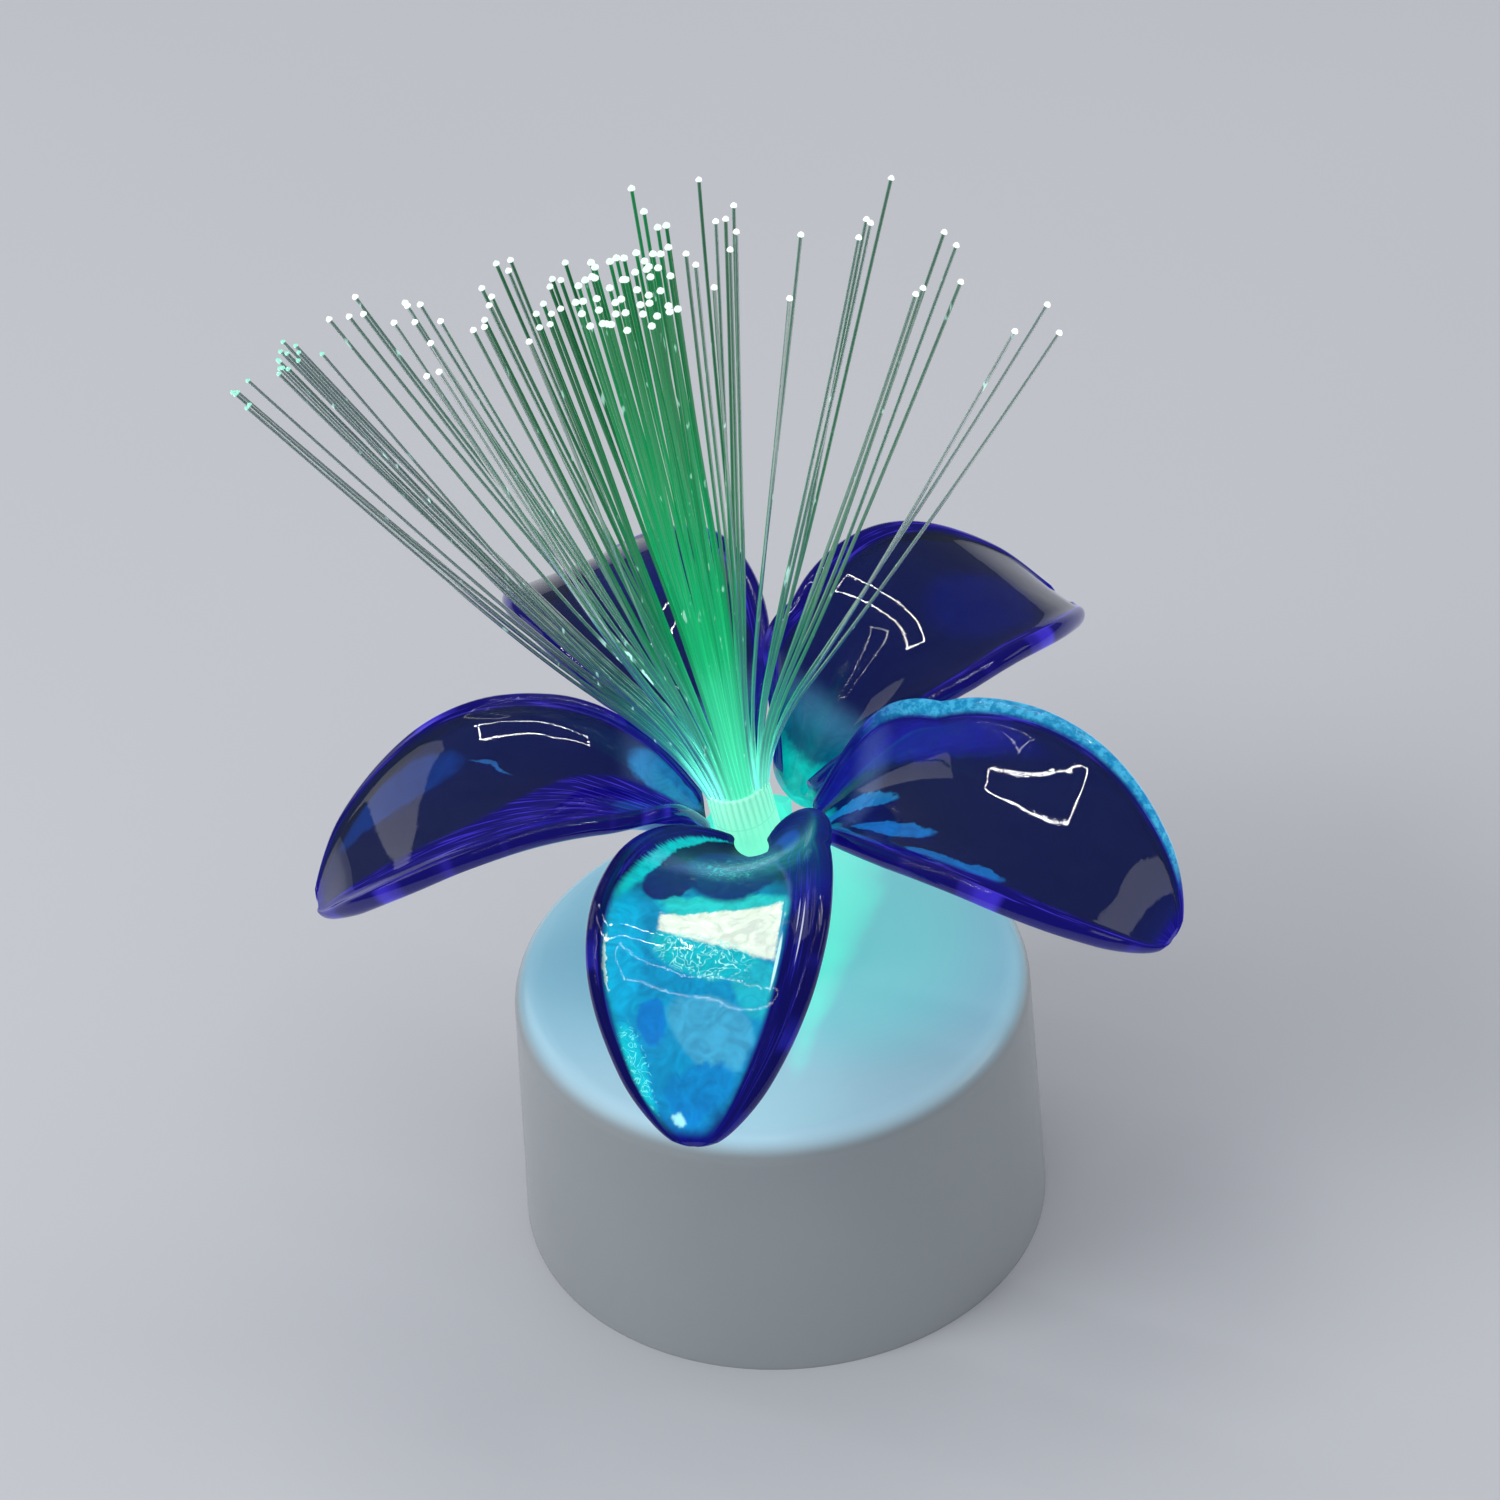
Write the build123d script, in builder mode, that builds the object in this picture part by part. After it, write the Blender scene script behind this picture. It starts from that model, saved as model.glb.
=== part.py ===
from build123d import *
import os
from math import atan2, cos, degrees, pi, radians, sin, sqrt, tan

# Battery lamp with a flower of clear blue petals and a spray of light-guide fibers.
# Millimetres. +Z is up, -Y is the front, and the origin is the centre of the base's underside.

# ---------------------------------------------------------------- base housing
base_height = 28.8
base_foot_radius = 25.9
base_top_radius = 25.0
base_wall = 1.6
base_rim_fillet = 2.6
base_inner_fillet = 1.0

# ---------------------------------------------------------------- bottom cover
cover_thickness = 1.6
cover_gap = 0.15
screw_count = 3
screw_circle_radius = 21.3
screw_first_angle = 90
screw_shank_radius = 0.95
screw_head_radius = 1.9
screw_head_height = 1.1
screw_length = 7.0
screw_slot_width = 0.5
screw_slot_depth = 0.6
screw_thread_gap = 0.03
screw_hole_gap = 0.15
boss_radius = 2.4

# ---------------------------------------------------------------- battery holder
cell_radius = 5.8
cell_height = 5.4
cell_count = 3
cell_cap_radius = 4.6
cell_step = 0.3
tube_center_x = -9.5
tube_gap = 0.25
tube_wall = 1.5
tube_roof = 1.4
mouth_wall = 1.4
contact_thickness = 0.3
contact_tab_width = 2.4
contact_tab_rise = 2.4
strip_step_gap = 0.1
cell_clearance = 0.5
slot_gap = 0.1

# Twist cap with two lugs; it unlocks after a sixth of a turn.
cap_radius = 8.0
cap_thickness = 1.4
cap_gap = 0.15
cap_skirt_radius = 6.8
cap_skirt_wall = 1.2
cap_skirt_height = 3.0
lug_reach = 0.8
lug_height = 1.2
lug_arc = 30
cap_turn = 60
lug_end_play = 3
coin_slot_length = 11.0
coin_slot_width = 1.6
coin_slot_depth = 0.8

spring_wire_radius = 0.25
spring_base_radius = 4.3
spring_top_radius = 2.6
spring_turns = 2.5
spring_corners = 10
spring_contact_gap = 0.05

# ---------------------------------------------------------------- slide switch
switch_center_x = 12.5
switch_length = 8.6
switch_width = 3.6
switch_height = 3.5
switch_shell_wall = 0.3
switch_travel = 2.0
lever_width = 1.5
lever_length = 2.0
lever_recess = 0.3
lever_gap = 0.15
lever_chamfer = 0.15
carriage_height = 1.0
terminal_pitch = 2.5
terminal_width = 0.8
terminal_thickness = 0.3
terminal_rise = 3.0
switch_board_thickness = 0.8
switch_recess_depth = 1.0
switch_floor = 1.0
finger_recess_length = 8.3
finger_recess_width = 4.8
finger_recess_corner = 1.0
rail_wall = 1.0
rail_gap = 0.1
rail_hook = 0.4
wiper_crest_half = 0.2
wiper_foot_half = 0.6

# ---------------------------------------------------------------- wiring
wire_radius = 0.5
joint_sleeve_radius = 0.95
joint_sleeve_bore = 0.6
joint_sleeve_length = 7.0
bend_share = 0.45
# Free corners of the wire routes: runs away from the contacts, the swing round the
# battery tube, and how far the wires rise above the switch terminals.
tab_wire_run = 6.5
swing_corner = (2.5, 13.0)
swing_drop = 2.0
switch_corner_y = 8.5
switch_corner_drop = 7.0
battery_wire_rise = 8.0
lamp_wire_rise = 6.0
lamp_wire_rise_at_joint = 8.0
strip_wire_y = -2.2

# ---------------------------------------------------------------- stem and petal holder
stem_radius = 4.1
stem_bore = 3.3
stem_height = 9.3
stem_flange_radius = 7.5
stem_flange = 1.2
stem_gap = 0.1
socket_depth = 3.0
holder_ledge = 0.8
holder_ledge_hole = 2.3
holder_pocket_radius = 3.45
holder_pocket_depth = 1.9
holder_foot_radius = 5.1
holder_radius = 5.9
throat_radius = 4.85
throat_depth = 5.2
holder_taper_height = 4.0
petal_seat_drop = 0.25
petal_notch_depth = 1.4

# ---------------------------------------------------------------- light source
led_radius = 2.5
led_flange_radius = 2.9
led_flange_height = 1.0
led_height = 8.6
led_seat_lift = 0.5
lead_size = 0.5
lead_pitch = 2.54
lead_embed = 4.4
lead_straight = 2.0
lead_drop = 5.5
led_post_width = 1.3
led_post_spread = 0.7

# ---------------------------------------------------------------- flower
petal_count = 5
petal_first_azimuth = -100.8
flower_rise = 17.8
flower_tilt_x = 1.9
flower_tilt_y = -1.6
petal_wall = 1.3
petal_tab_width = 2.8
petal_tab_thickness = 0.9
petal_tab_depth = 2.2
petal_tab_root = 1.04
petal_tab_gap = 0.15
# Control values of cubic curves from root to tip: reach from the axis, height,
# half width, and height of the two rims above the midline.
petal_reach = (5.0, 16.8, 29.5, 42.0)
petal_rise = (-0.35, 10.95, 16.05, -0.1)
petal_half_width = (2.8, 12.6, 12.4, 7.6)
petal_rim_height = (3.85, 5.25, -1.6, 0.75)
petal_stations = (0, 0.08, 0.17, 0.28, 0.4, 0.52, 0.64, 0.76, 0.86, 0.93, 0.97, 0.99, 0.999)
petal_upright_until = 0.4
petal_tip_power = 6
# Near its root each petal's last side curls in further: extra arc, and share of the length it ends at.
petal_lobe = 2.0
petal_lobe_end = 0.34
# Turn of each petal about its own length, front first, in degrees.
petal_twists = (7, 7, 7, 0, 3)

# ---------------------------------------------------------------- fiber bundle
bundle_lean = 9.0
fiber_radius = 0.175
fiber_pitch = 0.41
fiber_rings = 6
fiber_length = 63.0
fiber_lamp_gap = 0.2
fiber_exit_bend = 3.0
fiber_sweep_share = 0.4
fiber_outward = 1.1
fiber_curved_from = 12.0
sleeve_wall = 0.4
sleeve_gap = 0.06
sleeve_length = 12.5

# Each column of the spray, from left to right, holds its tufts from front to back.
# A tuft is (sideways lean, backward lean, half its width, half its depth, fibers), in degrees.
tuft_columns = (
    ((-41, 3, 1.3, 2.2, 6),),
    ((-32.9, 2.4, 0.5, 0.5, 1), (-36.4, 3.7, 1.8, 1.2, 12)),
    ((-22.3, -8.3, 0.9, 0.6, 2), (-21.5, -3.5, 0.8, 0.9, 2), (-24, 0, 1.4, 1.4, 5), (-30.4, 3.8, 2.6, 0.8, 4)),
    ((-13.9, -7, 0.5, 0.5, 1), (-17.3, -3.5, 1.5, 1.6, 6), (-15.2, -0.2, 1.0, 1.2, 3)),
    ((-11.9, -6.1, 1.9, 1.0, 5), (-11.5, -3.9, 1.9, 1.0, 5)),
    ((-7.2, -7, 3.0, 1.5, 15), (-7.4, -3.9, 3.0, 1.5, 15), (-3.8, 2.9, 0.5, 0.5, 1), (-5, 8.8, 0.5, 0.5, 1)),
    ((-4.1, -7.3, 1.5, 2.0, 10), (-3.9, -3.2, 1.5, 1.8, 8), (-2.9, 0.7, 0.4, 0.7, 2)),
    ((0.3, -5.2, 0.5, 0.5, 1), (-1.2, -2.2, 0.8, 0.8, 2), (1.8, 1, 1.4, 2.2, 5), (-0.8, 7.2, 0.5, 0.5, 1)),
    ((6.5, -7.5, 0.5, 0.5, 1), (7.8, -0.8, 0.5, 0.5, 1)),
    (
        (17.6, -4.8, 0.8, 1.2, 2),
        (20.6, -4.4, 0.5, 0.5, 1),
        (13.2, 2.1, 1.2, 0.8, 3),
        (20.7, 2, 1.2, 1.6, 2),
        (16.5, 11.3, 0.5, 0.5, 1),
    ),
    ((26.4, -8, 0.5, 0.5, 1), (30.5, -6.2, 0.5, 0.5, 1), (28.6, -5.2, 0.5, 0.5, 1)),
)

# ---------------------------------------------------------------- worked-out heights and radii
ceiling = base_height - base_wall
cover_radius = base_foot_radius - base_wall - cover_gap
tube_radius = cell_radius + tube_gap
tube_outer_radius = tube_radius + tube_wall
mouth_radius = cap_skirt_radius + cap_gap
lug_radius = cap_skirt_radius + lug_reach
groove_radius = lug_radius + cap_gap
mouth_outer_radius = groove_radius + mouth_wall
skirt_top = cap_thickness + cap_skirt_height
mouth_top = skirt_top + cap_gap
lug_top = skirt_top - cap_gap
lug_bottom = lug_top - lug_height
stack_bottom = mouth_top + strip_step_gap + contact_thickness + cell_clearance
stack_top = stack_bottom + cell_count * cell_height
tube_top = stack_top + contact_thickness + tube_roof
tab_top = tube_top + contact_tab_rise
switch_seat = switch_recess_depth + switch_floor
switch_top = switch_seat + switch_height
terminal_top = switch_top + terminal_rise

stem_bottom = ceiling - stem_flange
stem_top = base_height + stem_height
holder_bottom = stem_top - socket_depth
ledge_top = stem_top + holder_ledge
flower_height = base_height + flower_rise
holder_top = flower_height + petal_rise[0] - petal_seat_drop
led_seat = ledge_top + led_seat_lift

bundle_radius = fiber_rings * fiber_pitch + fiber_radius
sleeve_bore = max(bundle_radius, led_radius) + sleeve_gap
sleeve_radius = sleeve_bore + sleeve_wall
sleeve_bottom = led_flange_height
sleeve_top = sleeve_bottom + sleeve_length
fiber_root = led_height + fiber_lamp_gap

tube_plane = Plane(origin=(tube_center_x, 0, 0))
switch_plane = Plane(origin=(switch_center_x, 0, 0))
lamp_axis = Vector(-sin(radians(bundle_lean)), 0, cos(radians(bundle_lean)))
lamp_plane = Plane(origin=(0, 0, led_seat), x_dir=(lamp_axis.Z, 0, -lamp_axis.X), z_dir=lamp_axis)
flower_plane = Plane(Location((0, 0, flower_height), (flower_tilt_x, flower_tilt_y, 0)))

os.makedirs("parts", exist_ok=True)


def write(part, name):
    """Label one piece and write it as its own STEP file."""
    part.label = name
    export_step(part, f"parts/{name}.step")


# ---------------------------------------------------------------- helpers
def ring_sector(inner_radius, outer_radius, middle_angle, arc):
    """Flat sector of a ring about the origin."""
    first = middle_angle - arc / 2
    with BuildSketch() as sector:
        with BuildLine():
            outer = CenterArc((0, 0), outer_radius, first, arc)
            inner = CenterArc((0, 0), inner_radius, first, arc)
            Line(outer @ 0, inner @ 0)
            Line(outer @ 1, inner @ 1)
        make_face()
    return sector.sketch


def bend_radii(points):
    """Largest tangent arc that the two runs beside each corner allow."""
    radii = []
    for before, corner, after in zip(points, points[1:], points[2:]):
        run_in = Vector(corner) - Vector(before)
        run_out = Vector(after) - Vector(corner)
        half_turn = radians(run_in.get_angle(run_out) / 2)
        radii.append(bend_share * min(run_in.length, run_out.length) / tan(half_turn))
    return radii


def round_rod(points, rod_radius, radii):
    """Round rod along straight runs joined by tangent arcs."""
    with BuildPart() as rod:
        with BuildLine():
            route = FilletPolyline(*points, radius=radii)
        with BuildSketch(Plane(origin=route @ 0, z_dir=route % 0)):
            Circle(rod_radius)
        sweep(path=route)
    return rod.part


def insulated_wire(name, points):
    """One insulated wire, with its volume set against section times length."""
    radii = bend_radii(points)
    wire = round_rod(points, wire_radius, radii)
    expected = pi * wire_radius**2 * FilletPolyline(*points, radius=radii).length
    print(name, "radii", [round(radius, 2) for radius in radii])
    print(name, "volume", round(wire.volume, 3), "section times length", round(expected, 3))
    write(wire, name)


def bezier(controls, t):
    """Value of a cubic curve with four control values at 0 <= t <= 1."""
    first, second, third, last = controls
    s = 1 - t
    return s**3 * first + 3 * s**2 * t * second + 3 * s * t**2 * third + t**3 * last


def bezier_slope(controls, t):
    """Rate of change of that cubic."""
    first, second, third, last = controls
    s = 1 - t
    return 3 * s**2 * (second - first) + 6 * s * t * (third - second) + 3 * t**2 * (last - third)


# ================================================================ base
with BuildPart() as base_housing:
    with BuildSketch(Plane.XZ):
        with BuildLine():
            Polyline(
                (0, base_height),
                (base_top_radius, base_height),
                (base_foot_radius, 0),
                (base_foot_radius - base_wall, 0),
                (base_top_radius - base_wall, ceiling),
                (0, ceiling),
                close=True,
            )
        make_face()
    revolve(axis=Axis.Z)
    # Circles from the foot up: the foot's two, the one under the top wall, and the rim.
    fillet(base_housing.edges().filter_by(GeomType.CIRCLE).group_by(Axis.Z)[1], base_inner_fillet)
    fillet(base_housing.edges().filter_by(GeomType.CIRCLE).group_by(Axis.Z)[-1], base_rim_fillet)
    with BuildSketch(Plane.XY.offset(cover_thickness)):
        with PolarLocations(screw_circle_radius, screw_count, start_angle=screw_first_angle):
            Circle(boss_radius)
    extrude(amount=ceiling - cover_thickness)
    with BuildSketch(Plane.XY.offset(cover_thickness)):
        with PolarLocations(screw_circle_radius, screw_count, start_angle=screw_first_angle):
            Circle(screw_shank_radius + screw_thread_gap)
    extrude(amount=screw_length, mode=Mode.SUBTRACT)
    with BuildSketch(Plane.XY.offset(ceiling)):
        Circle(stem_radius + stem_gap)
    extrude(amount=base_wall, mode=Mode.SUBTRACT)
write(base_housing.part, "base_housing")

# The bottom cover carries the battery tube and the switch seat.
rail_inner_x = switch_width / 2 + rail_gap
rail_inner_y = switch_length / 2 + rail_gap
recess_length = switch_travel + lever_length + 2 * lever_gap
lug_room = lug_arc + 2 * lug_end_play
groove = ring_sector(tube_radius, groove_radius, -cap_turn / 2, lug_room + cap_turn)
entry = ring_sector(tube_radius, groove_radius, -cap_turn, lug_room)
with BuildPart() as bottom_cover:
    with BuildSketch():
        Circle(cover_radius)
    extrude(amount=cover_thickness)
    with BuildSketch(tube_plane):
        Circle(mouth_outer_radius)
    extrude(amount=mouth_top + cap_gap)
    with BuildSketch(tube_plane):
        Circle(tube_outer_radius)
    extrude(amount=tube_top)
    with BuildSketch(switch_plane):
        Rectangle(2 * (rail_inner_x + rail_wall), 2 * (rail_inner_y + rail_wall))
    extrude(amount=switch_top + rail_hook)
    # Battery bore, twist mouth and its seat.
    with BuildSketch(tube_plane):
        Circle(tube_radius)
    extrude(amount=stack_top + contact_thickness, mode=Mode.SUBTRACT)
    with BuildSketch(tube_plane):
        Circle(mouth_radius)
    extrude(amount=mouth_top, mode=Mode.SUBTRACT)
    with BuildSketch(tube_plane):
        Circle(cap_radius + cap_gap)
    extrude(amount=cap_thickness + cap_gap / 2, mode=Mode.SUBTRACT)
    # Bayonet: a round groove and two ways into it.
    with BuildSketch(tube_plane.offset(lug_bottom - cap_gap)):
        with PolarLocations(0, 2):
            add(groove)
    extrude(amount=lug_height + 2 * cap_gap, mode=Mode.SUBTRACT)
    with BuildSketch(tube_plane):
        with PolarLocations(0, 2):
            add(entry)
    extrude(amount=lug_top, mode=Mode.SUBTRACT)
    # Slots for the two battery contacts, and the groove of the side contact.
    with BuildSketch(tube_plane.offset(stack_top)):
        with Locations((0, cell_cap_radius / 2)):
            Rectangle(contact_tab_width + 2 * slot_gap, contact_thickness + 2 * slot_gap)
    extrude(amount=tube_top - stack_top, mode=Mode.SUBTRACT)
    with BuildSketch(tube_plane.offset(skirt_top)):
        with Locations((0, -tube_radius)):
            Rectangle(contact_tab_width + 2 * slot_gap, 2 * (2 * contact_thickness + slot_gap))
    extrude(amount=tube_top - skirt_top, mode=Mode.SUBTRACT)
    # Switch pocket with two hooks along its long sides, lever slot and finger recess.
    with BuildSketch(switch_plane.offset(switch_seat)):
        Rectangle(2 * rail_inner_x, 2 * rail_inner_y)
    extrude(amount=switch_height, mode=Mode.SUBTRACT)
    with BuildSketch(switch_plane.offset(switch_top)):
        Rectangle(2 * (rail_inner_x - rail_hook), 2 * (rail_inner_y + rail_wall))
    extrude(amount=rail_hook, mode=Mode.SUBTRACT)
    with BuildSketch(switch_plane):
        Rectangle(lever_width + 2 * lever_gap, recess_length)
    extrude(amount=switch_seat, mode=Mode.SUBTRACT)
    with BuildSketch(switch_plane):
        RectangleRounded(finger_recess_width, finger_recess_length, finger_recess_corner)
    extrude(amount=switch_recess_depth, mode=Mode.SUBTRACT)
    # Countersunk holes for the cover screws.
    with Locations(Plane.XY.rotated((180, 0, 0))):
        with PolarLocations(screw_circle_radius, screw_count, start_angle=-screw_first_angle):
            CounterSinkHole(
                radius=screw_shank_radius + screw_hole_gap,
                counter_sink_radius=screw_head_radius + screw_hole_gap,
                depth=cover_thickness,
            )
write(bottom_cover.part, "bottom_cover")

with BuildPart() as cover_screws:
    with BuildSketch(Plane.XZ):
        with BuildLine():
            Polyline(
                (0, 0),
                (screw_head_radius, 0),
                (screw_shank_radius, screw_head_height),
                (screw_shank_radius, screw_length - screw_shank_radius),
                (0, screw_length),
                close=True,
            )
        make_face()
    revolve(axis=Axis.Z)
    with BuildSketch():
        Rectangle(2 * screw_head_radius, screw_slot_width)
    extrude(amount=screw_slot_depth, mode=Mode.SUBTRACT)
cover_screw_places = PolarLocations(screw_circle_radius, screw_count, start_angle=screw_first_angle)
write(Compound(children=[place * cover_screws.part for place in cover_screw_places]), "cover_screws")


# ================================================================ battery compartment
for cell_number in range(cell_count):
    cell_bottom = stack_bottom + cell_number * cell_height
    with BuildPart() as battery_cell:
        with BuildSketch(tube_plane.offset(cell_bottom)):
            Circle(cell_cap_radius)
        extrude(amount=cell_step)
        with BuildSketch(tube_plane.offset(cell_bottom + cell_step)):
            Circle(cell_radius)
        extrude(amount=cell_height - cell_step)
        fillet(battery_cell.edges().group_by(Axis.Z)[-1], cell_step)
    write(battery_cell.part, f"battery_cell_{cell_number + 1}")

# Positive contact: a disc under the roof of the tube with one tab up through it.
with BuildPart() as positive_contact:
    with BuildSketch(tube_plane.offset(stack_top)):
        Circle(cell_cap_radius)
    extrude(amount=contact_thickness)
    with BuildSketch(tube_plane.offset(stack_top)):
        with Locations((0, cell_cap_radius / 2)):
            Rectangle(contact_tab_width, contact_thickness)
    extrude(amount=tab_top - stack_top)
write(positive_contact.part, "positive_contact")

# Negative contact: a strip down the side of the tube, stepped in over the skirt of the cap.
skirt_inner_radius = cap_skirt_radius - cap_skirt_wall
strip_foot_outer = skirt_inner_radius - 2 * cap_gap
strip_foot_inner = strip_foot_outer - contact_thickness
strip_outer = tube_radius + 2 * contact_thickness
strip_inner = strip_outer - contact_thickness
strip_step = mouth_top + strip_step_gap
strip_foot = cap_thickness + contact_thickness + spring_contact_gap
with BuildPart() as negative_contact:
    with BuildSketch(Plane.YZ.offset(tube_center_x)):
        with BuildLine():
            Polyline(
                (-strip_foot_inner, strip_foot),
                (-strip_foot_outer, strip_foot),
                (-strip_foot_outer, strip_step),
                (-strip_outer, strip_step),
                (-strip_outer, tab_top),
                (-strip_inner, tab_top),
                (-strip_inner, strip_step + contact_thickness),
                (-strip_foot_inner, strip_step + contact_thickness),
                close=True,
            )
        make_face()
    extrude(amount=contact_tab_width / 2, both=True)
write(negative_contact.part, "negative_contact")

lug_ring = ring_sector(skirt_inner_radius, lug_radius, 0, lug_arc)
with BuildPart() as battery_cap:
    with BuildSketch(tube_plane):
        Circle(cap_radius)
    extrude(amount=cap_thickness)
    with BuildSketch(tube_plane):
        Circle(cap_skirt_radius)
        Circle(skirt_inner_radius, mode=Mode.SUBTRACT)
    extrude(amount=skirt_top)
    with BuildSketch(tube_plane.offset(lug_bottom)):
        with PolarLocations(0, 2):
            add(lug_ring)
    extrude(amount=lug_height)
    with BuildSketch(tube_plane):
        SlotOverall(coin_slot_length, coin_slot_width)
    extrude(amount=coin_slot_depth, mode=Mode.SUBTRACT)
write(battery_cap.part, "battery_cap")

with BuildPart() as cap_contact:
    with BuildSketch(tube_plane.offset(cap_thickness)):
        Circle(skirt_inner_radius - cap_gap)
    extrude(amount=contact_thickness)
write(cap_contact.part, "cap_contact")

# Conical spring between the cap and the lowest cell: short runs joined by tangent arcs.
spring_bottom = cap_thickness + contact_thickness + spring_wire_radius
spring_top = stack_bottom - spring_contact_gap - spring_wire_radius
coil_points = []
for corner in range(round(spring_turns * spring_corners) + 1):
    share = corner / (spring_turns * spring_corners)
    turn = 2 * pi * corner / spring_corners
    coil_radius = spring_base_radius + share * (spring_top_radius - spring_base_radius)
    coil_height = spring_bottom + share * (spring_top - spring_bottom)
    coil_points.append(
        Vector(tube_center_x + coil_radius * cos(turn), coil_radius * sin(turn), coil_height)
    )
battery_spring = round_rod(coil_points, spring_wire_radius, bend_radii(coil_points))
write(battery_spring, "battery_spring")


# ================================================================ slide switch
shell_bottom = switch_seat
carriage_bottom = shell_bottom + switch_shell_wall + lever_gap / 2
carriage_top = carriage_bottom + carriage_height
carriage_width = switch_width - 2 * switch_shell_wall - lever_gap
carriage_length = switch_length - 2 * switch_shell_wall - switch_travel - lever_gap
board_bottom = switch_top - switch_board_thickness
terminal_bottom = board_bottom - contact_thickness / 2
slider_plane = Plane(origin=(switch_center_x, switch_travel / 2, 0))
terminal_places = [(0, (place - 1) * terminal_pitch) for place in range(3)]

with BuildPart() as switch_shell:
    with BuildSketch(switch_plane.offset(shell_bottom)):
        Rectangle(switch_width, switch_length)
    extrude(amount=switch_height)
    with BuildSketch(switch_plane.offset(shell_bottom + switch_shell_wall)):
        Rectangle(switch_width - 2 * switch_shell_wall, switch_length - 2 * switch_shell_wall)
    extrude(amount=switch_height, mode=Mode.SUBTRACT)
    with BuildSketch(switch_plane.offset(shell_bottom)):
        Rectangle(lever_width + 2 * lever_gap, recess_length)
    extrude(amount=switch_shell_wall, mode=Mode.SUBTRACT)
write(switch_shell.part, "switch_shell")

with BuildPart() as switch_board:
    with BuildSketch(switch_plane.offset(board_bottom)):
        Rectangle(switch_width - 2 * switch_shell_wall, switch_length - 2 * switch_shell_wall)
        with Locations(*terminal_places):
            Rectangle(terminal_thickness, terminal_width, mode=Mode.SUBTRACT)
    extrude(amount=switch_board_thickness)
write(switch_board.part, "switch_board")

with BuildPart() as switch_terminals:
    with BuildSketch(switch_plane.offset(terminal_bottom)):
        with Locations(*terminal_places):
            Rectangle(terminal_thickness, terminal_width)
    extrude(amount=terminal_top - terminal_bottom)
write(switch_terminals.part, "switch_terminals")

with BuildPart() as switch_slider:
    with BuildSketch(slider_plane.offset(lever_recess)):
        Rectangle(lever_width, lever_length)
    extrude(amount=carriage_bottom - lever_recess)
    chamfer(switch_slider.edges().group_by(Axis.Z)[0], lever_chamfer)
    with BuildSketch(slider_plane.offset(carriage_bottom)):
        Rectangle(carriage_width, carriage_length)
    extrude(amount=carriage_height)
write(switch_slider.part, "switch_slider")

# Contact clip on the slider: it bridges the middle terminal and one end terminal.
wiper_top = terminal_bottom - contact_thickness / 2 - spring_contact_gap
wiper_points = []
for crest in (switch_travel / 2 - terminal_pitch / 2, switch_travel / 2 + terminal_pitch / 2):
    wiper_points += [
        (crest - wiper_foot_half, carriage_top),
        (crest - wiper_crest_half, wiper_top),
        (crest + wiper_crest_half, wiper_top),
        (crest + wiper_foot_half, carriage_top),
    ]
with BuildPart() as switch_wiper:
    with BuildSketch(Plane.YZ.offset(switch_center_x)):
        with BuildLine():
            Polyline(*wiper_points)
            offset(amount=contact_thickness / 2, side=Side.LEFT, kind=Kind.INTERSECTION)
        make_face()
    extrude(amount=lever_width / 2, both=True)
write(switch_wiper.part, "switch_wiper")


# ================================================================ stem, petal holder and light source
with BuildPart() as stem_tube:
    with BuildSketch(Plane.XY.offset(stem_bottom)):
        Circle(stem_flange_radius)
    extrude(amount=stem_flange)
    with BuildSketch(Plane.XY.offset(stem_bottom)):
        Circle(stem_radius)
    extrude(amount=stem_top - stem_bottom)
    with BuildSketch(Plane.XY.offset(stem_bottom)):
        Circle(stem_bore)
    extrude(amount=stem_top - stem_bottom, mode=Mode.SUBTRACT)
write(stem_tube.part, "stem_tube")

petal_angles = [petal_first_azimuth + number * 360 / petal_count for number in range(petal_count)]
with BuildPart() as petal_holder:
    with BuildSketch(Plane.XZ):
        with BuildLine():
            Polyline(
                (stem_radius + stem_gap, holder_bottom),
                (holder_foot_radius, holder_bottom),
                (holder_radius, holder_bottom + holder_taper_height),
                (holder_radius, holder_top),
                (throat_radius, holder_top),
                (holder_pocket_radius, holder_top - throat_depth),
                (holder_pocket_radius, ledge_top),
                (holder_ledge_hole, ledge_top),
                (holder_ledge_hole, stem_top),
                (stem_radius + stem_gap, stem_top),
                close=True,
            )
        make_face()
    revolve(axis=Axis.Z)
    for petal_angle in petal_angles:
        notch_plane = Plane(Location((0, 0, holder_top), (0, 0, petal_angle)))
        with BuildSketch(notch_plane):
            with Locations((holder_radius, 0)):
                Rectangle(2 * petal_notch_depth, petal_tab_width + 2 * petal_tab_gap)
        extrude(amount=-(petal_tab_depth + petal_tab_gap), mode=Mode.SUBTRACT)
write(petal_holder.part, "petal_holder")

# Light source: leads first, because the lens is moulded round them.
lead_bend = lamp_plane.from_local_coords((0, 0, -lead_straight))
lead_end = lead_bend - Vector(0, 0, lead_drop)
lead_sides = {"led_anode_lead": lead_pitch / 2, "led_cathode_lead": -lead_pitch / 2}
led_leads = []
for lead_name, lead_y in lead_sides.items():
    lead_points = (
        lamp_plane.from_local_coords((0, lead_y, lead_embed)),
        lead_bend + Vector(0, lead_y, 0),
        lead_end + Vector(0, lead_y, 0),
    )
    with BuildPart() as led_lead:
        with BuildLine():
            lead_route = FilletPolyline(*lead_points, radius=bend_radii(lead_points))
        with BuildSketch(Plane(origin=lead_route @ 0, x_dir=(0, 1, 0), z_dir=lead_route % 0)):
            Rectangle(lead_size, lead_size)
        sweep(path=lead_route)
        with BuildSketch(lamp_plane.offset(lead_embed)):
            with Locations((0, lead_y * led_post_spread)):
                Rectangle(lead_size, led_post_width)
        extrude(amount=lead_size)
    write(led_lead.part, lead_name)
    led_leads.append(led_lead.part)

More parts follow.
